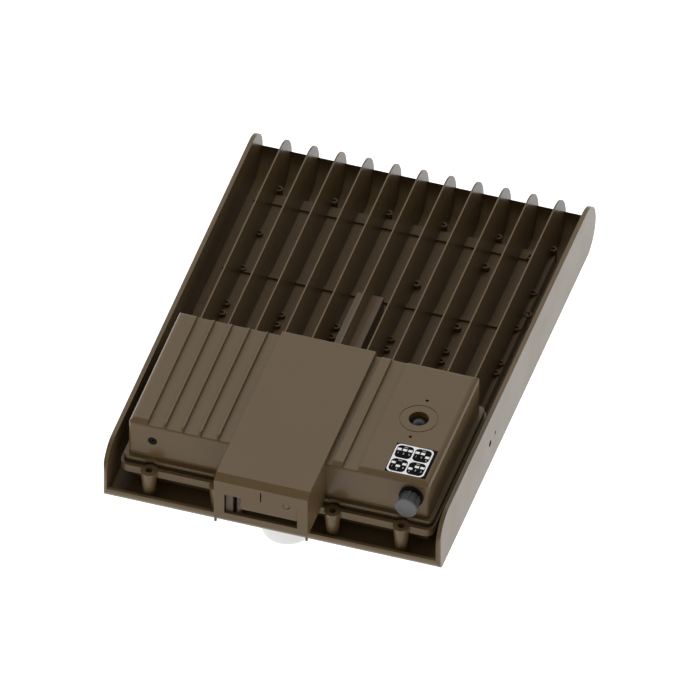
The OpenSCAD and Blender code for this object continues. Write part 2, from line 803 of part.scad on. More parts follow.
module arm_bracket() {
    color("#6b5e4c") from_socket() {
        difference() {
            along_x(-bracket_x, bracket_x) bracket_outline();
            span([-bracket_x + bracket_t, -reach + bracket_t, bracket_floor_z],
                [bracket_x - bracket_t, cover_y0 + over, cover_top - fit_gap]);
            span([-window_x, -reach - over, window_z0],
                [window_x, -reach + bracket_t + over, window_z1]);
            span([-slit_w / 2, -reach - over, window_z1 - over],
                [slit_w / 2, -reach + bracket_t + over, cover_top - bracket_t]);
            rod_y(set_screw_x, set_screw_z, -reach - over, -reach + bracket_t + over, set_hole_r);
            rod(bolt_x, bolt_y, bracket_z0 - over, bracket_floor_z + over, bolt_r + run_gap);
            for (p = bracket_screw_spots())
                rod(p[0], p[1], cover_top - over, bracket_top - bracket_screw_cap,
                    bracket_screw_r + thread_gap);
        }
        for (s = [-1, 1])
            rod(s * (bracket_x - peg_r), -reach + peg_r, bracket_z0 - peg_l, bracket_z0 + fit_gap, peg_r);
    }
}

module bracket_screws() {
    color("#8d8f92") from_socket() for (p = bracket_screw_spots()) {
        rod(p[0], p[1], cavity_top, bracket_top - bracket_screw_cap - fit_gap, bracket_screw_r);
        rod(p[0], p[1], cavity_top - bracket_screw_head_h, cavity_top, bracket_screw_head_r);
    }
}

module clamp_jaw() {
    color("#6b5e4c") from_socket() difference() {
        union() {
            span([jaw_x0, jaw_y0, jaw_z0], [jaw_x1, jaw_y0 + jaw_l, jaw_z1]);
            span([jaw_x0, jaw_y0 + bracket_t, jaw_z0 + fit_gap],
                [jaw_x0 + jaw_neck_w, jaw_y0 + jaw_l, jaw_lug_z0 + jaw_lug_h]);
            span([bolt_x, bolt_y - bolt_r, jaw_lug_z0],
                [jaw_x0 + over, bolt_y + bolt_r, jaw_lug_z0 + jaw_lug_h]);
            rod(bolt_x, bolt_y, jaw_lug_z0, jaw_lug_z0 + jaw_lug_h, jaw_lug_r);
        }
        rod(bolt_x, bolt_y, jaw_lug_z0 - over, jaw_lug_z0 + jaw_lug_h + over, bolt_r + run_gap);
        rod_y(set_screw_x, set_screw_z, jaw_y0 - over, jaw_y0 + jaw_l + over, set_notch_r);
    }
}

module clamp_bolt() {
    color("#55504a") from_socket() difference() {
        union() {
            rod(bolt_x, bolt_y, bracket_z0 - fit_gap, cover_top - fit_gap - body_gap, bolt_r);
            rod(bolt_x, bolt_y, bracket_floor_z + body_gap, bracket_floor_z + body_gap + bolt_head_h,
                bolt_head_r);
        }
        rod(bolt_x, bolt_y, bracket_z0 - over, bracket_z0 + bolt_socket_d, bolt_socket_r);
    }
}

module guide_post() {
    color("#a9a7a2") from_socket()
        span([post_x0, post_y0, bracket_floor_z], [post_x0 + post_w, post_y0 + post_w, set_screw_z]);
}

module arm_set_screw() {
    color("#6b5e4c") from_socket() translate([0, 0, set_screw_lift]) difference() {
        rod_y(set_screw_x, set_screw_z, -reach, -reach + set_screw_l, set_screw_r);
        rod_y(set_screw_x, set_screw_z, -reach + set_screw_l - bolt_socket_d, -reach + set_screw_l + over,
            bolt_socket_r);
    }
}

module vent_plug() {
    color("#2a2a2b") from_socket() difference() {
        union() {
            rod_y(-vent_x, vent_z, cover_y0 + vent_plug_d, cover_y0 + cover_t, vent_r);
            rod_y(-vent_x, vent_z, cover_y0 + cover_t, cover_y0 + cover_t + vent_flange_t, vent_flange_r);
        }
        rod_y(-vent_x, vent_z, cover_y0 - over, cover_y0 + cover_t, vent_hole_r);
    }
}

module switch_cap() {
    color("#8a8a8a") from_socket() difference() {
        union() {
            rod_y(cap_x, cap_z, cap_y0, cap_y0 + cap_face_t, cap_r);
            rod_y(cap_x, cap_z, cap_y0 + cap_face_t, cap_y1, cap_body_r);
            for (k = [1:cap_grips])
                rod_y(cap_x + cap_body_r * cos(k * 360 / cap_grips),
                    cap_z + cap_body_r * sin(k * 360 / cap_grips), cap_y0 + cap_face_t, cap_y1, cap_grip_r);
        }
        rod_y(cap_x, cap_z, cap_y0 + cap_end_t, cap_y1 + over, collar_r + run_gap);
    }
}

module cap_seal() {
    color("#161616") from_socket() difference() {
        rod_y(cap_x, cap_z, ring_y0, ring_y1, ring_r);
        rod_y(cap_x, cap_z, ring_y0 - over, ring_y1 + over, collar_r + run_gap);
    }
}

module switch_collar() {
    color("#26262a") from_socket() difference() {
        union() {
            rod_y(cap_x, cap_z, collar_y0, cover_y0 + cover_t, collar_r);
            rod_y(cap_x, cap_z, cover_y0 + cover_t, cover_y0 + cover_t + collar_flange_t,
                collar_flange_r);
        }
        rod_y(cap_x, cap_z, collar_y0 - over, cover_y0 + cover_t + collar_flange_t + over, collar_in_r);
    }
}

module switch_block() {
    color("#b3261e") from_socket() difference() {
        union() {
            span([cap_x - block_w / 2, block_y0, cap_z - block_w / 2],
                [cap_x + block_w / 2, cover_y0 + cover_t + collar_flange_t, cap_z + block_w / 2]);
            rod_y(cap_x, cap_z, cover_y0 + cover_t + collar_flange_t,
                cover_y0 + 2 * cover_t + collar_flange_t, collar_flange_r);
        }
        for (k = [-1, 0, 1])
            span([cap_x + k * lever_pitch - lever_w / 2 - lever_side_gap, block_y0 - over,
                    cap_z - lever_travel / 2 - lever_w / 2 - body_gap],
                [cap_x + k * lever_pitch + lever_w / 2 + lever_side_gap, block_y0 + lever_stem_d + body_gap,
                    cap_z + lever_travel / 2 + lever_w / 2 + body_gap]);
    }
}

// A switch lever in its upper place, counted from the left
module switch_lever(k) {
    color("#f2f2ee") from_socket()
        span([cap_x + (k - 2) * lever_pitch - lever_w / 2, block_y0 + lever_stem_d - lever_l,
                cap_z + lever_travel / 2 - lever_w / 2],
            [cap_x + (k - 2) * lever_pitch + lever_w / 2, block_y0 + lever_stem_d,
                cap_z + lever_travel / 2 + lever_w / 2]);
}

module settings_label() {
    color("#101010") from_socket()
        span([label_x - label_w / 2, label_y - label_w / 2, cover_top],
            [label_x + label_w / 2, label_y + label_w / 2, cover_top + label_t]);
}

module photocell_plug() {
    color("#17181a") from_socket() {
        translate([cell_x, cell_y, cover_top - plug_sink - plug_l]) cylinder(h = plug_l, r = plug_skirt_r);
        intersection() {
            translate([cell_x, cell_y, cover_top - plug_sink - plug_skirt_r])
                sphere(r = plug_skirt_r * sqrt(2));
            rod(cell_x, cell_y, cover_top - plug_sink, cover_top + plug_skirt_r, plug_skirt_r);
        }
    }
}

module lens_frame() {
    color("#5a4e40") from_socket() difference() {
        round_block([-shell_w / 2 + frame_margin, frame_y0, -frame_t],
            [shell_w / 2 - frame_margin, frame_y1, 0], frame_corner_r);
        for (k = [0:5]) module_box(k, -frame_t - over, over, frame_rim);
        for (p = frame_spots()) {
            rod(p[0], p[1], -frame_t - over, over, boss_hole_r);
            rod(p[0], p[1], -frame_t - over, -frame_t + frame_head_h, frame_head_r + fit_gap);
        }
    }
}

// The block over one light module, from z0 to z1, drawn in by a margin
module module_box(k, z0, z1, margin) {
    x = -pocket_w / 2 + (k % module_cols) * module_w;
    y = pocket_y0 + floor(k / module_cols) * pocket_step;
    span([x + margin, y + margin, z0], [x + module_w - margin, y + pocket_l - margin, z1]);
}

module lens_gasket() {
    color("#dcdcd8") from_socket() for (k = [0:5]) difference() {
        module_box(k, 0, gasket_t, module_gap);
        module_box(k, -over, gasket_t + over, frame_rim);
    }
}

// One lens plate with its rows of lenses
module lens(k) {
    x = -pocket_w / 2 + (k % module_cols) * module_w + module_w / 2;
    y = pocket_y0 + floor(k / module_cols) * pocket_step + pocket_l / 2;
    color("#e8eef2", 0.5) from_socket() {
        module_box(k, gasket_t, gasket_t + plate_t, module_gap);
        intersection() {
            module_box(k, gasket_t - dome_h - over, gasket_t, module_gap);
            union() for (i = [0:dome_cols - 1]) for (j = [0:dome_rows - 1])
                translate([x + (i - (dome_cols - 1) / 2) * dome_pitch_x,
                    y + (j - (dome_rows - 1) / 2) * dome_pitch_y, gasket_t + dome_ball_r - dome_h])
                    sphere(r = dome_ball_r, $fn = 32);
        }
    }
}

module led_board(k) {
    color("#f4f4ee") from_socket() module_box(k, pocket_h - board_t, pocket_h, module_gap);
}

// Left edge of a driver
function driver_x0(k) = k == 0 ? -flange_x + pan_inset + tray_t + driver_gap
    : flange_x - pan_inset - tray_t - driver_gap - driver_w;

// Places of the driver screws
function driver_screw_spots() = [for (k = [0, 1])
    for (y = [driver_y0 - driver_tab_in, driver_y0 + driver_l + driver_tab_in])
        [driver_x0(k) + driver_w / 2, y]];

// One LED driver with a fixing tab at each end
module led_driver(k) {
    x = driver_x0(k);
    color("#c9cbcc") from_socket() difference() {
        union() {
            round_block([x, driver_y0, pan_z1],
                [x + driver_w, driver_y0 + driver_l, pan_z1 + driver_h], driver_r);
            span([x + driver_w / 2 - driver_tab_w / 2, driver_y0 - driver_tab_l, pan_z1],
                [x + driver_w / 2 + driver_tab_w / 2, driver_y0 + driver_l + driver_tab_l,
                    pan_z1 + driver_tab_t]);
        }
        for (p = driver_screw_spots())
            rod(p[0], p[1], pan_z1 - over, pan_z1 + driver_tab_t + over, driver_screw_r + fit_gap);
    }
}

module driver_screws() {
    color("#8d8f92") from_socket() for (p = driver_screw_spots()) {
        rod(p[0], p[1], platform_h + over, pan_z1 + driver_tab_t, driver_screw_r - thread_gap);
        rod(p[0], p[1], pan_z1 + driver_tab_t, pan_z1 + driver_tab_t + driver_head_h, driver_head_r);
    }
}

module surge_protector() {
    color("#2b4d8c") from_socket()
        round_block([-surge_w / 2, surge_y0, pan_z1], [surge_w / 2, surge_y0 + surge_l, pan_z1 + surge_h],
            driver_r);
}

module terminal_block() {
    color("#e6e0cf") from_socket() difference() {
        span([-terminal_w / 2, terminal_y0, pan_z1],
            [terminal_w / 2, terminal_y0 + terminal_l, pan_z1 + terminal_h]);
        for (k = [-1, 0, 1])
            rod(lead_x + k * lead_pitch, terminal_y0 + terminal_l / 2, pan_z1 + terminal_h - terminal_bite,
                pan_z1 + terminal_h + over, lead_r + thread_gap);
    }
}

module supply_leads() {
    color("#20201f") from_socket() for (k = [-1, 0, 1]) {
        rod_y(lead_x + k * lead_pitch, lead_z, 0, terminal_y0 + terminal_l / 2, lead_r);
        rod(lead_x + k * lead_pitch, terminal_y0 + terminal_l / 2, pan_z1 + terminal_h - terminal_bite,
            lead_z, lead_r);
        translate([lead_x + k * lead_pitch, terminal_y0 + terminal_l / 2, lead_z]) sphere(lead_r);
    }
}

module lead_grommet() {
    color("#1c1b1a") from_socket() difference() {
        union() {
            rod_y(lead_x, lead_z, cover_y0, cover_y0 + cover_t, grommet_r);
            rod_y(lead_x, lead_z, cover_y0 + cover_t, cover_y0 + 2 * cover_t, grommet_r + over);
        }
        for (k = [-1, 0, 1])
            rod_y(lead_x + k * lead_pitch, lead_z, cover_y0 - over, cover_y0 + 2 * cover_t + over,
                lead_r + thread_gap);
    }
}

module frame_screws() {
    color("#8d8f92") from_socket() for (p = frame_spots()) {
        rod(p[0], p[1], -frame_t + frame_head_h - fit_gap, boss_z(p[1]) - 2 * over, frame_screw_r);
        rod(p[0], p[1], -frame_t + fit_gap, -frame_t + frame_head_h, frame_head_r);
    }
}

module sensor_base() {
    color("#efefec") from_socket() difference() {
        union() {
            rod(0, sensor_y, -sensor_seal_t - sensor_base_h, -sensor_seal_t, sensor_base_r);
            rod(0, sensor_y, -sensor_seal_t - over, floor_t + sensor_nut_h + over, sensor_neck_r);
        }
        rod(0, sensor_y, -sensor_seal_t - sensor_base_h - over, floor_t + sensor_nut_h + 2 * over,
            sensor_spigot_r + run_gap);
    }
}

module sensor_seal() {
    color("#1c1b1a") from_socket() difference() {
        rod(0, sensor_y, -sensor_seal_t, 0, sensor_base_r - over);
        rod(0, sensor_y, -sensor_seal_t - over, over, sensor_neck_r + thread_gap);
    }
}

module sensor_nut() {
    color("#efefec") from_socket() difference() {
        translate([0, sensor_y, floor_t]) cylinder(h = sensor_nut_h, r = sensor_nut_r, $fn = 6);
        rod(0, sensor_y, floor_t - over, floor_t + sensor_nut_h + over, sensor_neck_r + thread_gap);
    }
}

// Outline of the sensor head's shell, turned round its axis
module sensor_head_outline() {
    polygon([
        [0, sensor_head_z1],
        [sensor_r, sensor_head_z1],
        [sensor_r, sensor_head_z1 - sensor_collar_h],
        [sensor_foot_r, -sensor_drop + sensor_edge_r],
        [0, -sensor_drop + sensor_edge_r]
    ]);
    translate([0, -sensor_drop]) square([sensor_foot_r - sensor_edge_r, sensor_edge_r + over]);
    intersection() {
        translate([sensor_foot_r - sensor_edge_r, -sensor_drop + sensor_edge_r]) circle(sensor_edge_r);
        translate([0, -sensor_drop]) square([sensor_foot_r, sensor_edge_r]);
    }
}

module sensor_head() {
    color("#f4f4f1") from_socket() translate([0, sensor_y, 0]) {
        difference() {
            union() {
                rotate_extrude() sensor_head_outline();
                translate([0, 0, sensor_head_z1 - over])
                    cylinder(h = sensor_spigot_h + over, r = sensor_spigot_r);
            }
            translate([0, 0, -sensor_drop + sensor_wall_t])
                cylinder(h = sensor_drop, r = sensor_spigot_r - sensor_wall_t);
            translate([0, 0, -sensor_drop + sensor_wall_t])
                cylinder(h = sensor_drop + sensor_head_z1 - 2 * sensor_wall_t,
                    r = sensor_foot_r - sensor_wall_t - over);
        }
    }
}

module sensor_board() {
    color("#1f6b3a") from_socket() {
        rod(0, sensor_y, sensor_board_z1 - board_t, sensor_board_z1, sensor_board_r);
        rod(0, sensor_y, sensor_board_z1 - board_t - sensor_eye_h, sensor_board_z1 - board_t, sensor_eye_r);
    }
}

heat_sink();
driver_tray();
tray_screws();
cover_seal();
driver_cover();
arm_bracket();
bracket_screws();
clamp_jaw();
clamp_bolt();
guide_post();
arm_set_screw();
vent_plug();
switch_cap();
cap_seal();
switch_collar();
switch_block();
switch_lever(1);  // switch_lever_1
switch_lever(2);  // switch_lever_2
switch_lever(3);  // switch_lever_3
settings_label();
photocell_plug();
lens_frame();
lens_gasket();
frame_screws();
lens(0);  // lens_1
lens(1);  // lens_2
lens(2);  // lens_3
lens(3);  // lens_4
lens(4);  // lens_5
lens(5);  // lens_6
led_board(0);  // led_board_1
led_board(1);  // led_board_2
led_board(2);  // led_board_3
led_board(3);  // led_board_4
led_board(4);  // led_board_5
led_board(5);  // led_board_6
led_driver(0);  // led_driver_1
led_driver(1);  // led_driver_2
driver_screws();
surge_protector();
terminal_block();
supply_leads();
lead_grommet();
sensor_base();
sensor_seal();
sensor_nut();
sensor_head();
sensor_board();
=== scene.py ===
"""Dresses the finned flood light: coatings, screws, threads, cap, label, emitters, sensor and stage."""

import math

import bmesh
import bpy
from bpy.props import FloatProperty, FloatVectorProperty, IntProperty, PointerProperty
from mathutils import Matrix, Vector


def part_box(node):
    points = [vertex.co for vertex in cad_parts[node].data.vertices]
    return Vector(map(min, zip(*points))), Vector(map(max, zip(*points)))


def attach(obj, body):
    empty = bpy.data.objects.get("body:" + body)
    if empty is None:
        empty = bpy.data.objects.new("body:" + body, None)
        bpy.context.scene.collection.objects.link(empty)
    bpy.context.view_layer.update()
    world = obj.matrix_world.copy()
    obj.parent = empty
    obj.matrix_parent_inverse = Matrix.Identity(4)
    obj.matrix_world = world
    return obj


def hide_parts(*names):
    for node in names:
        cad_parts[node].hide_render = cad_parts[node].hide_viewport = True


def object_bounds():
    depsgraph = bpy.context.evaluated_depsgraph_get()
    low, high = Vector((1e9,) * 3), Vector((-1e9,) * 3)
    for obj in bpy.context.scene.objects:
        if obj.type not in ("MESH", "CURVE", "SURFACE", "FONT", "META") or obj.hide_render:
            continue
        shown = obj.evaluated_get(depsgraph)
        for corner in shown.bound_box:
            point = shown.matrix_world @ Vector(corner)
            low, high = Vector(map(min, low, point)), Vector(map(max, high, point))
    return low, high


bl_info = {
    "name": "Finned flood light",
    "version": (1, 0, 0),
    "blender": (4, 5, 0),
    "location": "View3D > Sidebar > Flood light",
    "description": "Finishes and fine pieces of a flat finned flood light",
    "category": "Object",
}

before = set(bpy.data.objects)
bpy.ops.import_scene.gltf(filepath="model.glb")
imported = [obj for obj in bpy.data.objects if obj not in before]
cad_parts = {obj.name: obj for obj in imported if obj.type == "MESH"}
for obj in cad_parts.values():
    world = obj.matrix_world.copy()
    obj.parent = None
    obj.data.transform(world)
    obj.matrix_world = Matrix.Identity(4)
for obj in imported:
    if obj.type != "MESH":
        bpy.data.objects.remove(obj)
CAD_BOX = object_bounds()

MM = 0.001
FULL_TURN = 2 * math.pi
UP = Vector((0, 0, 1))
DOWN = Vector((0, 0, -1))
FORWARD = Vector((0, -1, 0))

# Points closer than this are one point
WELD = MM / 1000
# Faces that meet at a smaller angle than this, in degrees, look smooth
CREASE = 35
# Sides of a quarter turn at a plate's rounded corner
CORNER_STEPS = 6


# Helpers for places and meshes


def low(node):
    return Vector(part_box(node)[0])


def high(node):
    return Vector(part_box(node)[1])


def middle(node):
    return (low(node) + high(node)) / 2


def islands(node):
    """The lowest and highest corners of each separate solid of a CAD node."""
    bm = bmesh.new()
    bm.from_mesh(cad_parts[node].data)
    bmesh.ops.remove_doubles(bm, verts=bm.verts, dist=WELD)
    left, boxes = set(bm.verts), []
    while left:
        group, queue = [], [left.pop()]
        while queue:
            vert = queue.pop()
            group.append(vert.co)
            for link in vert.link_edges:
                other = link.other_vert(vert)
                if other in left:
                    left.discard(other)
                    queue.append(other)
        boxes.append([Vector(pick(spot[i] for spot in group) for i in range(3)) for pick in (min, max)])
    bm.free()
    return sorted(boxes, key=lambda box: tuple(round(v, 5) for v in box[0]))


def turned(bm, rings, segments=48, lobes=6):
    """A closed turned form along +Z.

    Each ring is (radius, height) or (radius, height, depth of its lobes).
    """
    rows = []
    for radius, height, *lobe in rings:
        if radius == 0:
            rows.append([bm.verts.new((0, 0, height))])
            continue
        depth = lobe[0] if lobe else 0
        row = []
        for k in range(segments):
            angle = FULL_TURN * k / segments
            reach = radius + depth * math.cos(lobes * angle)
            row.append(bm.verts.new((reach * math.cos(angle), reach * math.sin(angle), height)))
        rows.append(row)
    for a, b in zip(rows, rows[1:]):
        for k in range(segments):
            n = (k + 1) % segments
            if len(a) == 1:
                bm.faces.new((a[0], b[n], b[k]))
            elif len(b) == 1:
                bm.faces.new((a[k], a[n], b[0]))
            else:
                bm.faces.new((a[k], a[n], b[n], b[k]))


def rounded_plate(bm, corner, across, radius, bottom, top, slot=0):
    """A flat plate with round corners, from its corner of least x and y and its size along both."""
    outline = []
    for k, (sx, sy) in enumerate(((1, 1), (0, 1), (0, 0), (1, 0))):
        cx = corner[0] + (across[0] - radius if sx else radius)
        cy = corner[1] + (across[1] - radius if sy else radius)
        for i in range(CORNER_STEPS + 1):
            angle = (k + i / CORNER_STEPS) * FULL_TURN / 4
            outline.append((cx + radius * math.cos(angle), cy + radius * math.sin(angle)))
    lower = [bm.verts.new((x, y, bottom)) for x, y in outline]
    upper = [bm.verts.new((x, y, top)) for x, y in outline]
    faces = [bm.faces.new(upper), bm.faces.new(list(reversed(lower)))]
    for k in range(len(outline)):
        n = (k + 1) % len(outline)
        faces.append(bm.faces.new((lower[k], lower[n], upper[n], upper[k])))
    for face in faces:
        face.material_index = slot


def facing(direction, place):
    """The matrix that stands a form made along +Z at a place, pointing in a direction."""
    return Matrix.Translation(place) @ direction.to_track_quat("Z", "Y").to_matrix().to_4x4()


def finished_mesh(bm, name, matrix=None, crease=CREASE):
    """Closes a bmesh into a mesh with outward faces, smooth where it turns less than the crease angle."""
    bmesh.ops.recalc_face_normals(bm, faces=bm.faces)
    mesh = bpy.data.meshes.new(name)
    bm.to_mesh(mesh)
    bm.free()
    if matrix is not None:
        mesh.transform(matrix)
    mesh.shade_smooth()
    mesh.set_sharp_from_angle(angle=math.radians(crease))
    return mesh


def turned_mesh(name, rings, matrix=None, segments=48, welded=False):
    """A turned form as a mesh. A form round a bore ends on its first ring and is welded there."""
    bm = bmesh.new()
    turned(bm, rings, segments)
    if welded:
        bmesh.ops.remove_doubles(bm, verts=bm.verts, dist=WELD)
    return finished_mesh(bm, name, matrix)


def placed(name, data):
    """Puts data in the scene as an object."""
    obj = bpy.data.objects.new(name, data)
    bpy.context.scene.collection.objects.link(obj)
    return obj


def taken_mesh(obj):
    """The plain mesh that an object makes. The object itself goes."""
    graph = bpy.context.evaluated_depsgraph_get()
    mesh = bpy.data.meshes.new_from_object(obj.evaluated_get(graph), depsgraph=graph)
    bpy.data.objects.remove(obj)
    return mesh


def piece(name, mesh, body, slot, *finishes):
    """Puts a finished mesh in the scene on a body. Its finishes are given by name."""
    obj = placed(name, mesh)
    for k, material in enumerate(FINISHES[key] for key in finishes):
        if k < len(mesh.materials):
            mesh.materials[k] = material
        else:
            mesh.materials.append(material)
    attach(obj, body)
    return obj


# Helpers for node trees


def add(tree, kind, values=None, **settings):
    """A node with its settings. Its inputs, by name or number, get constants or other nodes' outputs."""
    node = tree.nodes.new(kind)
    for key, value in settings.items():
        setattr(node, key, value)
    for key, value in (values or {}).items():
        if isinstance(value, bpy.types.NodeSocket):
            tree.links.new(value, node.inputs[key])
        else:
            node.inputs[key].default_value = value
    return node


def product(tree, a, b, clamped=True):
    """The product of two numbers that nodes give."""
    return add(tree, "ShaderNodeMath", {0: a, 1: b}, operation="MULTIPLY", use_clamp=clamped).outputs[0]


def group_tree(name, kind, inputs, outputs):
    """An empty node group with named inputs and outputs, each (label, kind, value or None)."""
    tree = bpy.data.node_groups.new(name, kind)
    for way, sockets in (("INPUT", inputs), ("OUTPUT", outputs)):
        for label, data, value in sockets:
            socket = tree.interface.new_socket(name=label, in_out=way, socket_type="NodeSocket" + data)
            if value is not None:
                socket.default_value = value
    return tree, tree.nodes.new("NodeGroupInput"), tree.nodes.new("NodeGroupOutput")


def shader_group(name, inputs, outputs):
    """An empty shader group with a vector and numbers (label, value) in, and numbers out."""
    numbers = [(label, "Float", value) for label, value in inputs]
    results = [(label, "Float", None) for label in outputs]
    return group_tree(name, "ShaderNodeTree", [("Vector", "Vector", None), *numbers], results)


def shape_tree(name, inputs):
    """An empty Geometry Nodes tree with one geometry in, one geometry out and named inputs."""
    shape = ("Geometry", "Geometry", None)
    return group_tree(name, "GeometryNodeTree", [shape, *inputs], [shape])


def on_points(tree, start, label):
    """The node that sets the object of a named input on a tree's points."""
    source = add(tree, "GeometryNodeObjectInfo", {"Object": start.outputs[label]})
    values = {"Points": start.outputs["Geometry"], "Instance": source.outputs["Geometry"]}
    return add(tree, "GeometryNodeInstanceOnPoints", values)


def end_tree(tree, source, start, end):
    """Closes a tree with real geometry and its finish."""
    real = add(tree, "GeometryNodeRealizeInstances", {"Geometry": source})
    values = {"Geometry": real.outputs[0], "Material": start.outputs["Finish"]}
    coated = add(tree, "GeometryNodeSetMaterial", values)
    tree.links.new(coated.outputs[0], end.inputs["Geometry"])


def grown(name, tree, seed, values, body, slot, key):
    """Runs a Geometry Nodes tree on a seed mesh and puts the plain mesh that it makes in the scene."""
    obj = placed(name, seed)
    modifier = obj.modifiers.new("Build", "NODES")
    modifier.node_group = tree
    values = {**values, "Finish": FINISHES[key]}
    for item in tree.interface.items_tree:
        if item.item_type == "SOCKET" and item.in_out == "INPUT" and item.name in values:
            modifier[item.identifier] = values[item.name]
    mesh = taken_mesh(obj)
    mesh.name = name
    mesh.shade_smooth()
    mesh.set_sharp_from_angle(angle=math.radians(CREASE))
    return piece(name, mesh, body, slot, key)


def point_mesh(name, places, lengths=None):
    """A mesh of loose points, with a length on each where one is given."""
    mesh = bpy.data.meshes.new(name)
    mesh.from_pydata([tuple(p) for p in places], [], [])
    if lengths is not None:
        reach = mesh.attributes.new("reach", "FLOAT", "POINT")
        for k, value in enumerate(lengths):
            reach.data[k].value = value
    return mesh


# Sizes and colours that a user would change


def metres(name, description, default):
    """A setting in metres."""
    return FloatProperty(name=name, description=description, unit="LENGTH", default=default)


def plain(name, description, default):
    """A setting without a unit."""
    return FloatProperty(name=name, description=description, default=default)


def whole(name, description, default):
    """A setting in whole numbers."""
    return IntProperty(name=name, description=description, default=default)


def degrees(name, description, default):
    """A setting that is given in degrees."""
    return FloatProperty(name=name, description=description, subtype="ANGLE", default=math.radians(default))


class CoatingSettings(bpy.types.PropertyGroup):
    bronze: FloatVectorProperty(
        name="Bronze",
        description="Coat of the shell, cover, tray and bracket",
        subtype="COLOR",
        size=4,
        default=(0.134, 0.087, 0.039, 1),
    )
    grain: metres("Coat grain", "Size of the coat's fine texture", 0.9 * MM)
    edge: metres("Edge softness", "Radius by which the castings' edges look rounded", 0.3 * MM)


class ScrewSettings(bpy.types.PropertyGroup):
    head_share: plain("Head height", "Head height over head radius", 0.62)
    drive_share: plain("Drive size", "Drive radius over head radius", 0.5)
    lobe_share: plain("Drive lobes", "Lobe depth over drive radius", 0.16)
    thread_depth: metres("Thread depth", "Height of a thread ridge", 0.42 * MM)
    bolt_pitch: metres("Bolt pitch", "Pitch of the clamp bolt", 1.9 * MM)
    collar_pitch: metres("Collar pitch", "Pitch of the switch collar", 2.0 * MM)


class CapSettings(bpy.types.PropertyGroup):
    wall: metres("Cap wall", "Room between the cap and the collar", 0.08 * MM)
    face: metres("Front disc", "Thickness of the front disc", 1.2 * MM)
    end: metres("Front wall", "Wall in front of the collar", 1.6 * MM)
    step: metres("Waist", "Step behind the front disc", 0.5 * MM)
    edge: metres("Front edge", "Rounding of the front edge", 0.4 * MM)
    grips: whole("Grips", "Grips round the waist", 12)
    grip_t: metres("Grip height", "Height of a grip", 0.8 * MM)


class LabelSettings(bpy.types.PropertyGroup):
    margin: metres("Margin", "Black edge round the panel", 0.6 * MM)
    side: metres("Wide margin", "Black edge on the right", 2.6 * MM)
    line: metres("Line", "Width of the white lines", 1.4 * MM)
    block: metres("Block", "Width of a switch block", 3.7 * MM)
    digit: metres("Digit", "Size of the digits and the word", 2.4 * MM)


class EmitterSettings(bpy.types.PropertyGroup):
    across: whole("Across", "Emitters across a board", 5)
    along: whole("Along", "Emitters along a board", 8)
    pitch_x: metres("Pitch across", "Across a board", 13.42 * MM)
    pitch_y: metres("Pitch along", "Along a board", 14.71 * MM)
    chip: metres("Emitter", "Side of an emitter", 3.5 * MM)


class StageSettings(bpy.types.PropertyGroup):
    drop: metres("Floor drop", "Floor below the light", 0.25)
    azimuth: degrees("Azimuth", "Camera turn", 17.77)
    elevation: degrees("Elevation", "Camera height", 43.22)
    width: metres("View width", "Width that the camera sees", 0.6028)
    side: metres("Corner across", "Lower front corner of the right wall, from the middle", 77.4 * MM)
    rise: metres("Corner below", "Lower front corner of the right wall, below the middle", 191.6 * MM)
    glow: plain("Surround", "Strength of the even surrounding light", 1.45)
    haze: plain("Horizon", "Share of the surrounding light near the horizon", 0.45)
    shade: plain("Right side", "Share of the surrounding light from the right", 0.45)
    lift: plain("Floor glow", "Light that comes through the floor sheet", 0.68)
    front: plain("Front side", "Share of the surrounding light from the front", 0.4)
    key: FloatProperty(name="Key light", description="Soft light overhead", unit="POWER", default=8.0)


# Finishes


# Scale of the broad fleck over the scale of the grain
FLECK_SHARE = 0.22
# The part of its range that a noise mostly fills
NOISE_RANGE = (0.3, 0.7)


def sized_noise(tree, start, detail):
    """A noise with grains of the group's size, and the node that gives its scale."""
    rate = add(tree, "ShaderNodeMath", {0: 1.0, 1: start.outputs["Size"]}, operation="DIVIDE")
    values = {"Detail": detail, "Scale": rate.outputs[0], "Vector": start.outputs["Vector"]}
    return add(tree, "ShaderNodeTexNoise", values), rate


def grain_group():
    """A fine cast or moulded texture: a height and a light and dark fleck."""
    inputs = (("Size", MM), ("Detail", 3.0))
    tree, start, end = shader_group("Fine grain", inputs, ("Height", "Fleck"))
    fine, rate = sized_noise(tree, start, start.outputs["Detail"])
    slow = product(tree, rate.outputs[0], FLECK_SHARE, clamped=False)
    values = {"Detail": 2.0, "Scale": slow, "Vector": start.outputs["Vector"]}
    broad = add(tree, "ShaderNodeTexNoise", values)
    tree.links.new(fine.outputs["Fac"], end.inputs["Height"])
    tree.links.new(broad.outputs["Fac"], end.inputs["Fleck"])
    return tree


def handling_group():
    """Broad soft patches, from handling and weather, as a roughness."""
    inputs = (("Size", 40 * MM), ("Low", 0.4), ("High", 0.5))
    tree, start, end = shader_group("Handling", inputs, ("Roughness",))
    patch, _ = sized_noise(tree, start, 4.0)
    values = {
        "Value": patch.outputs["Fac"],
        "From Min": NOISE_RANGE[0],
        "From Max": NOISE_RANGE[1],
        "To Min": start.outputs["Low"],
        "To Max": start.outputs["High"],
    }
    spread = add(tree, "ShaderNodeMapRange", values)
    tree.links.new(spread.outputs[0], end.inputs["Roughness"])
    return tree


def dust_group():
    """A thin dust that settles on faces that look up."""
    inputs = (("Size", 12 * MM), ("Amount", 0.1))
    tree, start, end = shader_group("Settled dust", inputs, ("Mask",))
    shape = add(tree, "ShaderNodeNewGeometry")
    split = add(tree, "ShaderNodeSeparateXYZ", {0: shape.outputs["Normal"]})
    cloud, _ = sized_noise(tree, start, 5.0)
    level = product(tree, split.outputs["Z"], cloud.outputs["Fac"])
    tree.links.new(product(tree, level, start.outputs["Amount"]), end.inputs["Mask"])
    return tree


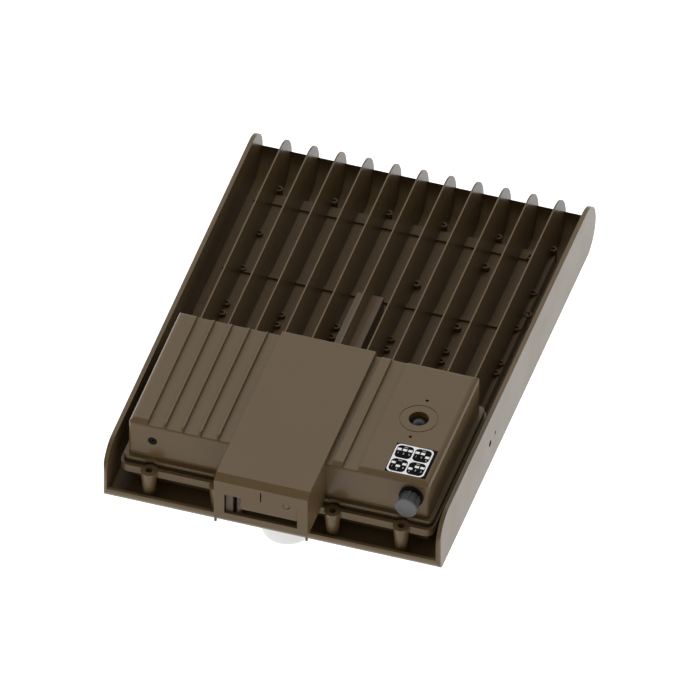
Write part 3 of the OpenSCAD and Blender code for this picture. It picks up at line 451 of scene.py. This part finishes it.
GROUPS = {}
FINISHES = {}
DUST_COLOUR = (0.32, 0.29, 0.25, 1)


def finish(
    name,
    colour,
    rough,
    grain=0.5 * MM,
    bump=0.05 * MM,
    tone=0.1,
    patch=0.06,
    dust=0.0,
    edge=0.0,
    stretch=(1, 1, 1),
    **shader_values,
):
    """A procedural finish with grain, patches of roughness and dust.

    The size of the grain, the height of its bumps and the radius of soft edges are lengths. The tone is the
    share by which the colour varies, and the patch is how far the roughness does. Other values go to the
    shader's sockets.
    """
    material = bpy.data.materials.new(name)
    material.use_nodes = True
    tree = material.node_tree
    link = tree.links.new
    shader = tree.nodes["Principled BSDF"]
    for socket, value in shader_values.items():
        shader.inputs[socket.replace("_", " ")].default_value = value
    place = add(tree, "ShaderNodeTexCoord").outputs["Object"]
    mapping = add(tree, "ShaderNodeMapping", {"Vector": place, "Scale": stretch})

    values = {"Size": grain, "Vector": mapping.outputs[0]}
    texture = add(tree, "ShaderNodeGroup", values, node_tree=GROUPS["grain"])
    values = {
        "A": [c * (1 - tone) for c in colour[:3]] + [1],
        "B": [c * (1 + tone) for c in colour[:3]] + [1],
        "Factor": texture.outputs["Fleck"],
    }
    shade = add(tree, "ShaderNodeMix", values, data_type="RGBA").outputs["Result"]
    if dust:
        values = {"Amount": dust, "Vector": place}
        settled = add(tree, "ShaderNodeGroup", values, node_tree=GROUPS["dust"])
        values = {"A": shade, "B": DUST_COLOUR, "Factor": settled.outputs["Mask"]}
        shade = add(tree, "ShaderNodeMix", values, data_type="RGBA").outputs["Result"]
    link(shade, shader.inputs["Base Color"])

    values = {"Low": rough - patch, "High": rough + patch, "Vector": place}
    wear = add(tree, "ShaderNodeGroup", values, node_tree=GROUPS["handling"])
    link(wear.outputs["Roughness"], shader.inputs["Roughness"])

    values = {"Strength": 1.0, "Distance": bump, "Height": texture.outputs["Height"]}
    relief = add(tree, "ShaderNodeBump", values)
    if edge:
        soft = add(tree, "ShaderNodeBevel", {"Radius": edge}, samples=8)
        link(soft.outputs[0], relief.inputs["Normal"])
    link(relief.outputs[0], shader.inputs["Normal"])
    FINISHES[name] = material
    return material


def make_finishes(coat):
    """All finishes of the light, by name."""
    GROUPS.update(grain=grain_group(), handling=handling_group(), dust=dust_group())
    finish("bronze_coat", coat.bronze, 0.3, grain=coat.grain, bump=0.006 * MM, tone=0.04, patch=0.03,
           dust=0.01, edge=coat.edge, Specular_IOR_Level=0.22, Coat_Weight=0.15, Coat_Roughness=0.1)
    finish("bare_casting", (0.11, 0.086, 0.063), 0.5, grain=1.2 * MM, bump=0.04 * MM, tone=0.1,
           Specular_IOR_Level=0.3)
    finish("zinc_plate", (0.52, 0.53, 0.54), 0.32, bump=0.01 * MM, tone=0.08, Metallic=1.0)
    finish("dark_thread", (0.165, 0.13, 0.1), 0.4, bump=0.01 * MM, tone=0.15, Metallic=0.2)
    finish("black_rubber", (0.006, 0.006, 0.006), 0.6, grain=0.8 * MM, bump=0.02 * MM, tone=0.3,
           Specular_IOR_Level=0.1)
    finish("brown_rubber", (0.031, 0.02, 0.01), 0.7, grain=0.8 * MM, bump=0.02 * MM, tone=0.2,
           Specular_IOR_Level=0.08)
    finish("plug_rubber", (0.008, 0.009, 0.011), 0.32, grain=0.8 * MM, bump=0.008 * MM, tone=0.3)
    finish("white_silicone", (0.7, 0.7, 0.67), 0.6, bump=0.02 * MM, tone=0.04)
    finish("black_moulding", (0.016, 0.016, 0.018), 0.5, bump=0.02 * MM, tone=0.2)
    finish("grey_moulding", (0.1, 0.1, 0.103), 0.5, grain=0.6 * MM, bump=0.02 * MM, tone=0.05)
    # A darker copy of the grey moulding: painted shade for the cap's waist and grips
    finish("grey_side_painted_shade", (0.032, 0.033, 0.034), 0.5, grain=0.6 * MM, bump=0.02 * MM, tone=0.1)
    finish("white_moulding", (0.90, 0.90, 0.90), 0.4, grain=0.6 * MM, bump=0.01 * MM, tone=0.02)
    finish("red_moulding", (0.45, 0.03, 0.02), 0.45, bump=0.02 * MM)
    finish("blue_moulding", (0.03, 0.08, 0.26), 0.45, bump=0.02 * MM)
    finish("cream_moulding", (0.76, 0.70, 0.58), 0.45, bump=0.02 * MM, tone=0.04)
    finish("lead_cover", (0.02, 0.02, 0.02), 0.38, bump=0.01 * MM, tone=0.2)
    finish("label_black", (0.003, 0.003, 0.003), 0.7, bump=0.004 * MM, tone=0.2, Specular_IOR_Level=0.08)
    finish("label_white", (0.95, 0.95, 0.95), 0.5, bump=0.004 * MM, tone=0.02)
    finish("board_white", (0.80, 0.80, 0.76), 0.4, bump=0.005 * MM, tone=0.03)
    finish("board_green", (0.015, 0.14, 0.045), 0.35, bump=0.01 * MM, tone=0.15)
    finish("phosphor", (0.78, 0.56, 0.06), 0.5, bump=0.01 * MM, tone=0.06)
    finish("driver_case", (0.55, 0.56, 0.57), 0.34, bump=0.01 * MM, tone=0.06, stretch=(1, 12, 1),
           Metallic=0.9)
    finish("clear_lens", (0.95, 0.97, 0.98), 0.08, bump=0.002 * MM, tone=0.01, patch=0.02,
           Transmission_Weight=1.0, IOR=1.49)


NODE_FINISHES = {
    "bronze_coat": (
        "heat_sink",
        "lens_frame",
        "driver_tray",
        "driver_cover",
        "arm_bracket",
        "clamp_jaw",
        "arm_set_screw",
    ),
    "bare_casting": ("guide_post",),
    "black_rubber": ("cap_seal", "lead_grommet", "sensor_seal", "vent_plug"),
    "brown_rubber": ("cover_seal",),
    "plug_rubber": ("photocell_plug",),
    "white_silicone": ("lens_gasket",),
    "black_moulding": ("switch_collar",),
    "white_moulding": ("switch_lever_1", "switch_lever_2", "switch_lever_3", "sensor_base", "sensor_nut"),
    "red_moulding": ("switch_block",),
    "blue_moulding": ("surge_protector",),
    "cream_moulding": ("terminal_block",),
    "lead_cover": ("supply_leads",),
    "driver_case": ("led_driver_1", "led_driver_2"),
    "board_green": ("sensor_board",),
    "board_white": tuple("led_board_%d" % k for k in range(1, 7)),
    "clear_lens": tuple("lens_%d" % k for k in range(1, 7)),
}


# Operators, one for each piece or group of like pieces


class FLOODLIGHT_OT_coat_parts(bpy.types.Operator):
    """Gives each part of the frame its coating"""

    bl_idname = "floodlight.coat_parts"
    bl_label = "Coat the parts"

    def execute(self, context):
        make_finishes(context.scene.flood_coating)
        for name, nodes in NODE_FINISHES.items():
            for node in nodes:
                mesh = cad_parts[node].data
                mesh.materials.clear()
                mesh.materials.append(FINISHES[name])
        return {"FINISHED"}


def screw_tree():
    """Screws on points: a head and a shank of each point's own length."""
    tree, start, end = shape_tree(
        "Screws on points",
        (
            ("Head", "Object", None),
            ("Shank", "Object", None),
            ("Turn", "Vector", None),
            ("Finish", "Material", None),
        ),
    )
    link = tree.links.new
    turn = add(tree, "FunctionNodeEulerToRotation", {0: start.outputs["Turn"]})
    reach = add(tree, "GeometryNodeInputNamedAttribute", {"Name": "reach"}, data_type="FLOAT")
    stretch = add(tree, "ShaderNodeCombineXYZ", {"X": 1.0, "Y": 1.0, "Z": reach.outputs["Attribute"]})
    join = add(tree, "GeometryNodeJoinGeometry")
    for label in ("Head", "Shank"):
        spread = on_points(tree, start, label)
        link(turn.outputs[0], spread.inputs["Rotation"])
        if label == "Shank":
            link(stretch.outputs[0], spread.inputs["Scale"])
        link(spread.outputs[0], join.inputs[0])
    end_tree(tree, join.outputs[0], start, end)
    return tree


class FLOODLIGHT_OT_fit_screws(bpy.types.Operator):
    """Fits the screws with round heads and lobed drives"""

    bl_idname = "floodlight.fit_screws"
    bl_label = "Fit the screws"

    # The node, the way its heads face and the radius of its shanks in millimetres
    groups = (
        ("tray_screws", UP, 2.0),
        ("driver_screws", UP, 1.45),
        ("bracket_screws", DOWN, 1.9),
        ("frame_screws", DOWN, 1.4),
    )
    # The outside of a head from its seat up, as shares of its radius and height
    head_profile = ((1, 0), (1, 0.35), (0.93, 0.7), (0.78, 1))
    highest_head = 2 * MM
    drive_depth = 0.6
    drive_rim = 1.4

    def head_rings(self, settings, head_r, head_h):
        """A head along +Z with a lobed drive in its top."""
        drive_r = settings.drive_share * head_r
        lobe = settings.lobe_share * drive_r
        floor = head_h - head_h * self.drive_depth
        return (
            (0, 0),
            *((head_r * across, head_h * up) for across, up in self.head_profile),
            (drive_r + lobe * self.drive_rim, head_h),
            (drive_r, head_h, lobe),
            (drive_r, floor, lobe),
            (0, floor),
        )

    def execute(self, context):
        settings = context.scene.flood_screws
        tree = screw_tree()
        for node, way, shank_mm in self.groups:
            boxes = islands(node)
            head_r = (boxes[0][1].x - boxes[0][0].x) / 2
            head_h = min(settings.head_share * head_r, self.highest_head)
            shank_r = shank_mm * MM
            rings = self.head_rings(settings, head_r, head_h)
            head = placed(node + "_head", turned_mesh(node + "_head", rings, segments=36))
            rings = ((0, 0), (shank_r, 0), (shank_r, -1), (0, -1))
            shank = placed(node + "_shank", turned_mesh(node + "_shank", rings, segments=20))
            seats, lengths = [], []
            for lowest, highest in boxes:
                centre = (lowest + highest) / 2
                end = highest.z - head_h if way == UP else lowest.z + head_h
                seats.append((centre.x, centre.y, end))
                lengths.append(highest.z - lowest.z - head_h)
            values = {"Head": head, "Shank": shank, "Turn": (0, 0, 0) if way == UP else (math.pi, 0, 0)}
            seed = point_mesh(node + "_seats", seats, lengths)
            made = grown(node + "_fitted", tree, seed, values, "housing", "screw_steel", "zinc_plate")
            for part in (head, shank):
                bpy.data.objects.remove(part)
            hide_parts(node)
        return {"FINISHED"}


def thread_tree():
    """The helical ridge of a thread, along +Z from the origin and then stood in its place."""
    tree, start, end = shape_tree(
        "Threaded length",
        (
            ("Radius", "Float", 2 * MM),
            ("Ridge", "Float", 0.3 * MM),
            ("Length", "Float", 10 * MM),
            ("Pitch", "Float", MM),
            ("Place", "Vector", None),
            ("Turn", "Vector", None),
            ("Finish", "Material", None),
        ),
    )
    given = start.outputs
    turns = add(tree, "ShaderNodeMath", {0: given["Length"], 1: given["Pitch"]}, operation="DIVIDE")
    middle_r = add(tree, "ShaderNodeMath", {0: given["Radius"], 1: given["Ridge"]}, operation="SUBTRACT")
    values = {
        "Resolution": 28,
        "Rotations": turns.outputs[0],
        "Start Radius": middle_r.outputs[0],
        "End Radius": middle_r.outputs[0],
        "Height": given["Length"],
    }
    spiral = add(tree, "GeometryNodeCurveSpiral", values)
    section = add(tree, "GeometryNodeCurvePrimitiveCircle", {"Resolution": 6, "Radius": given["Ridge"]})
    values = {"Curve": spiral.outputs[0], "Profile Curve": section.outputs[0], "Fill Caps": True}
    sweep = add(tree, "GeometryNodeCurveToMesh", values)
    turn = add(tree, "FunctionNodeEulerToRotation", {0: given["Turn"]})
    values = {"Geometry": sweep.outputs[0], "Translation": given["Place"], "Rotation": turn.outputs[0]}
    stand = add(tree, "GeometryNodeTransform", values)
    end_tree(tree, stand.outputs[0], start, end)
    return tree


class FLOODLIGHT_OT_cut_threads(bpy.types.Operator):
    """Cuts the threads of the clamp bolt and of the switch collar"""

    bl_idname = "floodlight.cut_threads"
    bl_label = "Cut the threads"

    bolt_r = 2.7 * MM
    # Start and end of the ring that holds the bolt in the bracket
    bolt_ring = (3.9 * MM, 4.9 * MM)
    # How far the bolt's lower edge is cut back, and how high up
    bolt_cut = 0.1 * MM
    bolt_rise = 0.2 * MM
    thread_start = 6 * MM
    socket_r = 1.7 * MM
    socket_d = 2.4 * MM
    socket_lobe = 0.12
    collar_r = 7.8 * MM
    collar_bore_r = 6.2 * MM
    flange_t = 1.6 * MM
    # Length of the plain neck behind the collar's thread
    neck = 5 * MM

    def execute(self, context):
        settings = context.scene.flood_screws
        ridge = settings.thread_depth
        core = self.bolt_r - 2 * ridge
        lobe = self.socket_lobe * self.socket_r
        tree = thread_tree()
        seed = point_mesh("thread_seed", [(0, 0, 0)])

        base, top, centre = low("clamp_bolt"), high("clamp_bolt"), middle("clamp_bolt")
        head_r = (top.x - base.x) / 2
        length = top.z - base.z
        mesh = turned_mesh(
            "clamp_bolt_core",
            (
                (0, self.socket_d),
                (self.socket_r, self.socket_d, lobe),
                (self.socket_r, 0, lobe),
                (self.bolt_r - self.bolt_cut, 0),
                (self.bolt_r, self.bolt_rise),
                (self.bolt_r, self.bolt_ring[0]),
                (head_r, self.bolt_ring[0]),
                (head_r, self.bolt_ring[1]),
                (self.bolt_r, self.bolt_ring[1]),
                (core + ridge, self.thread_start),
                (core + ridge, length - ridge),
                (core, length),
                (0, length),
            ),
            Matrix.Translation((centre.x, centre.y, base.z)),
            segments=36,
        )
        bolt = piece("clamp_bolt_core", mesh, "bolt", "dark_steel", "dark_thread")
        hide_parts("clamp_bolt")
        values = {
            "Radius": self.bolt_r,
            "Ridge": ridge,
            "Length": length - self.thread_start - 2 * ridge,
            "Pitch": settings.bolt_pitch,
            "Place": (centre.x, centre.y, base.z + self.thread_start),
            "Turn": (0, 0, 0),
        }
        grown("clamp_bolt_thread", tree, seed, values, "bolt", "dark_steel", "dark_thread")

        front, back, centre = low("switch_collar"), high("switch_collar"), middle("switch_collar")
        flange_r = (back.x - front.x) / 2
        length = back.y - front.y
        body_r = self.collar_r - ridge
        neck_end = self.flange_t + self.neck
        rear = Vector((centre.x, back.y, centre.z))
        mesh = turned_mesh(
            "switch_collar_body",
            (
                (self.collar_bore_r, 0),
                (flange_r, 0),
                (flange_r, self.flange_t),
                (self.collar_r, self.flange_t),
                (self.collar_r, neck_end),
                (body_r, neck_end + ridge),
                (body_r, length),
                (self.collar_bore_r, length),
                (self.collar_bore_r, 0),
            ),
            facing(FORWARD, rear),
            welded=True,
        )
        collar = piece("switch_collar_body", mesh, "housing", "black_plastic", "black_moulding")
        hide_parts("switch_collar")
        run_in = neck_end + 2 * ridge
        values.update(
            Radius=self.collar_r,
            Length=length - run_in - ridge,
            Pitch=settings.collar_pitch,
            Place=tuple(rear + FORWARD * run_in),
            Turn=(math.pi / 2, 0, 0),
        )
        grown("switch_collar_thread", tree, seed, values, "housing", "black_plastic", "black_moulding")
        return {"FINISHED"}


class FLOODLIGHT_OT_turn_cap(bpy.types.Operator):
    """Makes the grey screw cap with its front disc, waist and grips"""

    bl_idname = "floodlight.turn_cap"
    bl_label = "Make the cap"

    # Room between the front disc and the CAD cap's radius
    inset = 0.2 * MM
    # Steps of the front rim, as shares of the edge's rounding
    corner_share = 0.3
    rim_share = 2.2
    dish_share = 2.6
    dish_depth = 0.4
    crease = 50

    def execute(self, context):
        cap = context.scene.flood_cap
        front, back, centre = low("switch_cap"), high("switch_cap"), middle("switch_cap")
        length = back.y - front.y
        disc = (back.z - front.z) / 2 - self.inset
        waist = disc - cap.step
        lobe = cap.grip_t / 2
        bore = FLOODLIGHT_OT_cut_threads.collar_r + cap.wall
        corner = cap.edge * self.corner_share
        dish = length - cap.edge * self.dish_depth
        bm = bmesh.new()
        turned(
            bm,
            (
                (0, length - cap.end),
                (bore, length - cap.end),
                (bore, 0),
                (waist - cap.grip_t, 0),
                (waist - lobe, cap.edge, lobe),
                (waist - lobe, length - cap.face - cap.edge, lobe),
                (disc, length - cap.face),
                (disc, length - cap.edge),
                (disc - corner, length - corner),
                (disc - cap.edge, length),
                (disc - self.rim_share * cap.edge, length),
                (disc - self.dish_share * cap.edge, dish),
                (0, dish),
            ),
            segments=8 * cap.grips,
            lobes=cap.grips,
        )
        # The waist and its grips, behind the front disc, take the darker grey as painted shade on the cap's
        # side
        for face in bm.faces:
            spot = face.calc_center_median()
            if 0 < spot.z < length - cap.face and spot.xy.length > bore + cap.wall:
                face.material_index = 1
        rear = Vector((centre.x, back.y, centre.z))
        mesh = finished_mesh(bm, "switch_cap_body", facing(FORWARD, rear), self.crease)
        body = piece("switch_cap_body", mesh, "cap", "grey_plastic", "grey_moulding", "grey_side_painted_shade")
        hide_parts("switch_cap")
        return {"FINISHED"}


# Font size over the height that is asked for, and the thickness of the print
FONT_SHARE = 1.4
INK = 0.015 * MM


def letter_mesh(text, height, place):
    """A flat digit or word as a mesh with a little thickness, its centre at a place."""
    curve = bpy.data.curves.new("digit_" + text, "FONT")
    curve.body = text
    curve.size = height * FONT_SHARE
    curve.align_x, curve.align_y = "CENTER", "CENTER"
    curve.extrude = INK
    curve.resolution_u = 3
    mesh = taken_mesh(placed("digit_" + text, curve))
    mesh.transform(Matrix.Translation(place))
    return mesh


class FLOODLIGHT_OT_print_label(bpy.types.Operator):
    """Makes the settings label with four fields of three switch blocks"""

    bl_idname = "floodlight.print_label"
    bl_label = "Print the label"

    # The column and row of each field, and which of its blocks are in the upper place
    fields = (((0, 0), "101"), ((1, 0), "011"), ((0, 1), "111"), ((1, 1), "110"))
    # Height in a field, as a share, of an upper or lower block and of the digit below it
    block_places = {"1": 0.66, "0": 0.44}
    digit_places = {"1": 0.36, "0": 0.2}
    word_place = 0.87
    digit_share = 0.8
    word_share = 0.6
    block_share = 0.74
    layer = 0.05 * MM
    plate_t = 0.1 * MM
    plate_r = 0.2 * MM
    panel_r = 4.5 * MM
    field_r = 4 * MM
    block_r = 0.3 * MM
    # Height of the print's middle above the plate, in layers
    ink_layers = 2.6

    def execute(self, context):
        label = context.scene.flood_label
        corner, far = low("settings_label"), high("settings_label")
        side = far.x - corner.x
        bm = bmesh.new()
        top = corner.z + self.plate_t
        levels = [top + k * self.layer for k in range(4)]
        rounded_plate(bm, corner, (side, side), self.plate_r, corner.z, top)
        panel = Vector((corner.x + label.margin, corner.y + label.margin))
        across = (side - label.margin - label.side, side - 2 * label.margin)
        rounded_plate(bm, panel, across, self.panel_r, levels[0], levels[1], slot=1)
        field = [(a - 3 * label.line) / 2 for a in across]
        block = (label.block, label.block * self.block_share)
        ink = top + self.ink_layers * self.layer
        words = []
        for cell, places in self.fields:
            start = Vector([panel[i] + label.line + cell[i] * (field[i] + label.line) for i in range(2)])
            rounded_plate(bm, start, field, self.field_r, levels[1], levels[2])
            for k, place in enumerate(places):
                middle_x = start.x + (k + 0.5) * field[0] / 3
                block_y = start.y + field[1] * self.block_places[place]
                near = (middle_x - block[0] / 2, block_y - block[1] / 2)
                rounded_plate(bm, near, block, self.block_r, levels[2], levels[3], slot=1)
                digit_y = start.y + field[1] * self.digit_places[place]
                words.append((str(k + 1), self.digit_share, Vector((middle_x, digit_y, ink))))
            above = Vector((start.x + field[0] / 2, start.y + field[1] * self.word_place, ink))
            words.append(("ON", self.word_share, above))
        for text, share, place in words:
            shape = letter_mesh(text, label.digit * share, place)
            before = len(bm.faces)
            bm.from_mesh(shape)
            bm.faces.ensure_lookup_table()
            for face in bm.faces[before:]:
                face.material_index = 1
            bpy.data.meshes.remove(shape)
        mesh = finished_mesh(bm, "settings_label_print")
        made = piece("settings_label_print", mesh, "housing", "label_film", "label_black", "label_white")
        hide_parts("settings_label")
        return {"FINISHED"}


def emitter_tree():
    """A grid of square emitters on each board's centre."""
    tree, start, end = shape_tree(
        "Emitters on boards",
        (
            ("Across", "Int", 5),
            ("Along", "Int", 8),
            ("Width", "Float", 50 * MM),
            ("Span", "Float", 90 * MM),
            ("Chip", "Vector", None),
            ("Finish", "Material", None),
        ),
    )
    given = start.outputs
    values = {
        "Vertices X": given["Across"],
        "Vertices Y": given["Along"],
        "Size X": given["Width"],
        "Size Y": given["Span"],
    }
    grid = add(tree, "GeometryNodeMeshGrid", values)
    chip = add(tree, "GeometryNodeMeshCube", {"Size": given["Chip"]})
    values = {"Points": grid.outputs[0], "Instance": chip.outputs[0]}
    field = add(tree, "GeometryNodeInstanceOnPoints", values)
    values = {"Points": given["Geometry"], "Instance": field.outputs[0]}
    spread = add(tree, "GeometryNodeInstanceOnPoints", values)
    end_tree(tree, spread.outputs[0], start, end)
    return tree


class FLOODLIGHT_OT_fit_emitters(bpy.types.Operator):
    """Sets the light emitters on the boards, one under each lens"""

    bl_idname = "floodlight.fit_emitters"
    bl_label = "Fit the emitters"

    chip_t = 0.25 * MM

    def execute(self, context):
        emitters = context.scene.flood_emitters
        places = []
        for k in range(1, 7):
            centre, base = middle("led_board_%d" % k), low("led_board_%d" % k)
            places.append((centre.x, centre.y, base.z - self.chip_t / 2))
        values = {
            "Across": emitters.across,
            "Along": emitters.along,
            "Width": (emitters.across - 1) * emitters.pitch_x,
            "Span": (emitters.along - 1) * emitters.pitch_y,
            "Chip": (emitters.chip, emitters.chip, self.chip_t),
        }
        seed = point_mesh("board_centres", places)
        grown("emitters", emitter_tree(), seed, values, "housing", "board_white", "phosphor")
        return {"FINISHED"}


class FLOODLIGHT_OT_turn_sensor(bpy.types.Operator):
    """Makes the sensor head with its collar, taper and window"""

    bl_idname = "floodlight.turn_sensor"
    bl_label = "Make the sensor"

    spigot_r = 11 * MM
    spigot_h = 8 * MM
    collar_h = 7 * MM
    taper = 2.3 * MM
    foot_r = 5 * MM
    arc_steps = 6
    window_steps = 8
    window_r = 14.5 * MM
    window_gap = 0.1 * MM
    recess = 1.4 * MM
    dome = 1.1 * MM
    ripple = 0.12 * MM
    step = 0.5 * MM
    bead = 0.3 * MM
    edge = 0.4 * MM

    def execute(self, context):
        base, top, centre = low("sensor_head"), high("sensor_head"), middle("sensor_head")
        radius = (top.x - base.x) / 2
        length = top.z - base.z
        shoulder = length - self.spigot_h
        foot = radius - self.taper
        turns = [k * FULL_TURN / (4 * self.arc_steps) for k in range(self.arc_steps + 1)]
        arc = [(foot - self.foot_r * (1 - math.sin(t)), self.foot_r * (1 - math.cos(t))) for t in turns]
        neck_r = radius - self.step
        neck_top = shoulder - self.collar_h
        seat = Matrix.Translation((centre.x, centre.y, base.z))
        rings = (
            (0, self.recess),
            (self.window_r, self.recess),
            (self.window_r, 0),
            *arc,
            (neck_r, neck_top - self.bead),
            (neck_r, neck_top),
            (radius, neck_top + self.bead),
            (radius, shoulder - self.edge),
            (radius - self.edge, shoulder),
            (self.spigot_r, shoulder),
            (self.spigot_r, length - self.step),
            (self.spigot_r - self.step, length),
            (0, length),
        )
        mesh = turned_mesh("sensor_head_body", rings, seat, segments=96)
        made = piece("sensor_head_body", mesh, "sensor", "white_plastic", "white_moulding")
        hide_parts("sensor_head")
        steps = self.window_steps
        rings = [
            (
                self.window_r * k / steps,
                self.recess - self.dome * math.cos(k / steps * FULL_TURN / 4) + self.ripple * (k % 2),
            )
            for k in range(steps)
        ]
        rings += [(self.window_r - self.window_gap, self.recess), (0, self.recess)]
        mesh = turned_mesh("sensor_window", rings, seat, segments=64)
        piece("sensor_window", mesh, "sensor", "white_plastic", "white_silicone")
        return {"FINISHED"}


def ring_tree():
    """A short open ring on each point."""
    tree, start, end = shape_tree(
        "Rings on points",
        (("Ring", "Object", None), ("Finish", "Material", None)),
    )
    spread = on_points(tree, start, "Ring")
    end_tree(tree, spread.outputs[0], start, end)
    return tree


class FLOODLIGHT_OT_cast_rings(bpy.types.Operator):
    """Sets the two small cast rings between the fins"""

    bl_idname = "floodlight.cast_rings"
    bl_label = "Set the cast rings"

    # Places from the right side, the arm end of the shell and its underside
    seats = ((41.3, 385.9, 14), (22.5, 318.3, 12))
    outer_r = 3.6 * MM
    inner_r = 2.3 * MM
    height = 2.4 * MM

    def execute(self, context):
        corner, far = low("heat_sink"), high("heat_sink")
        places = [(far.x - x * MM, corner.y + y * MM, corner.z + z * MM) for x, y, z in self.seats]
        rings = (
            (self.inner_r, 0),
            (self.outer_r, 0),
            (self.outer_r, self.height),
            (self.inner_r, self.height),
            (self.inner_r, 0),
        )
        ring = placed("cast_ring", turned_mesh("cast_ring", rings, segments=24, welded=True))
        seed = point_mesh("ring_seats", places)
        grown("cast_rings", ring_tree(), seed, {"Ring": ring}, "housing", "bronze_shell", "bronze_coat")
        bpy.data.objects.remove(ring)
        return {"FINISHED"}


def area_light(name, place, target, width, power):
    """A square soft light at a place, turned to a target, that shows no bright spot on glossy faces."""
    light = bpy.data.lights.new(name, "AREA")
    light.shape = "SQUARE"
    light.size = width
    light.energy = power
    obj = placed(name, light)
    obj.location = place
    obj.rotation_euler = (Vector(target) - Vector(place)).to_track_quat("-Z", "Y").to_euler()
    obj.visible_glossy = False


class FLOODLIGHT_OT_set_stage(bpy.types.Operator):
    """Sets the camera, the pale floor, the surrounding light and the key light"""

    bl_idname = "floodlight.set_stage"
    bl_label = "Set the stage"

    floor_side = 12.0
    distance = 2.0
    clip = (0.01, 100)
    # Where each ramp of the surrounding light starts and ends along its axis, from -1 to 1
    zenith = (0.72, 0.95)
    horizon = (0.25, 0.6)
    right = (-0.1, 0.5)
    near = (-0.6, 0.0)
    zenith_level = 0.12
    key_place = (0, 0.6, 2)
    key_target = (0, 0.25, 0)
    key_width = 0.6

    def place_camera(self, context, stage):
        a, e = stage.azimuth, stage.elevation
        across = Vector((math.cos(a), math.sin(a), 0))
        back = Vector((math.sin(a) * math.cos(e), -math.cos(a) * math.cos(e), math.sin(e)))
        upward = back.cross(across)
        corner = Vector((high("heat_sink").x, low("heat_sink").y, low("heat_sink").z))
        centre = corner - across * stage.side + upward * stage.rise
        camera = bpy.data.cameras.new("camera")
        camera.type = "ORTHO"
        camera.ortho_scale = stage.width
        camera.clip_start, camera.clip_end = self.clip
        obj = placed("camera", camera)
        turn = Matrix((across, upward, back)).transposed()
        obj.matrix_world = Matrix.Translation(centre + back * self.distance) @ turn.to_4x4()
        context.scene.camera = obj

    def lay_floor(self, context, stage):
        bm = bmesh.new()
        floor_z = CAD_BOX[0].z - stage.drop
        signs = ((-1, -1), (1, -1), (1, 1), (-1, 1))
        bm.faces.new([bm.verts.new((x * self.floor_side, y * self.floor_side, floor_z)) for x, y in signs])
        mesh = bpy.data.meshes.new("floor")
        bm.to_mesh(mesh)
        bm.free()
        floor = placed("floor", mesh)
        sheet = finish(
            "floor_sheet",
            (0.93, 0.93, 0.93),
            0.8,
            grain=20 * MM,
            bump=0.0,
            tone=0.01,
            Emission_Color=(1, 1, 1, 1),
            Emission_Strength=stage.lift,
        )
        mesh.materials.append(sheet)

    def light_up(self, context, stage):
        world = bpy.data.worlds.new("studio")
        world.use_nodes = True
        tree = world.node_tree
        sky = tree.nodes["Background"]
        sky.inputs["Color"].default_value = (1, 1, 1, 1)
        place = add(tree, "ShaderNodeTexCoord")
        split = add(tree, "ShaderNodeSeparateXYZ", {0: place.outputs["Generated"]})
        ramps = (
            ("Z", self.zenith, stage.glow, self.zenith_level),
            ("Z", self.horizon, stage.haze, 1.0),
            ("X", self.right, 1.0, stage.shade),
            ("Y", self.near, stage.front, 1.0),
        )
        level = None
        for axis, (start, end), first, last in ramps:
            values = {"From Min": start, "From Max": end, "To Min": first, "To Max": last}
            values["Value"] = split.outputs[axis]
            ramp = add(tree, "ShaderNodeMapRange", values).outputs[0]
            level = ramp if level is None else product(tree, level, ramp, clamped=False)
        tree.links.new(level, sky.inputs["Strength"])
        context.scene.world = world
        context.scene.view_settings.view_transform = "Standard"
        area_light("key_light", self.key_place, self.key_target, self.key_width, stage.key)

    def execute(self, context):
        stage = context.scene.flood_stage
        self.place_camera(context, stage)
        self.lay_floor(context, stage)
        self.light_up(context, stage)
        return {"FINISHED"}


OPERATORS = (
    FLOODLIGHT_OT_coat_parts,
    FLOODLIGHT_OT_set_stage,
    FLOODLIGHT_OT_fit_screws,
    FLOODLIGHT_OT_cut_threads,
    FLOODLIGHT_OT_turn_cap,
    FLOODLIGHT_OT_print_label,
    FLOODLIGHT_OT_fit_emitters,
    FLOODLIGHT_OT_turn_sensor,
    FLOODLIGHT_OT_cast_rings,
)

SETTINGS = {
    "flood_coating": CoatingSettings,
    "flood_screws": ScrewSettings,
    "flood_cap": CapSettings,
    "flood_label": LabelSettings,
    "flood_emitters": EmitterSettings,
    "flood_stage": StageSettings,
}


class FLOODLIGHT_PT_panel(bpy.types.Panel):
    """Lists the steps and their sizes"""

    bl_idname = "FLOODLIGHT_PT_panel"
    bl_label = "Flood light"
    bl_space_type = "VIEW_3D"
    bl_region_type = "UI"
    bl_category = "Flood light"

    def draw(self, context):
        for operator in OPERATORS:
            self.layout.operator(operator.bl_idname)
        for name in SETTINGS:
            box = self.layout.box()
            group = getattr(context.scene, name)
            for key in group.bl_rna.properties.keys():
                if key not in ("rna_type", "name"):
                    box.prop(group, key)


def register():
    for cls in (*SETTINGS.values(), *OPERATORS, FLOODLIGHT_PT_panel):
        bpy.utils.register_class(cls)
    for name, cls in SETTINGS.items():
        setattr(bpy.types.Scene, name, PointerProperty(type=cls))


def unregister():
    for name in SETTINGS:
        delattr(bpy.types.Scene, name)
    for cls in (FLOODLIGHT_PT_panel, *reversed(OPERATORS), *reversed(tuple(SETTINGS.values()))):
        bpy.utils.unregister_class(cls)


def main():
    register()
    for operator in OPERATORS:
        group, name = operator.bl_idname.split(".")
        getattr(getattr(bpy.ops, group), name)()


if __name__ == "__main__":
    main()
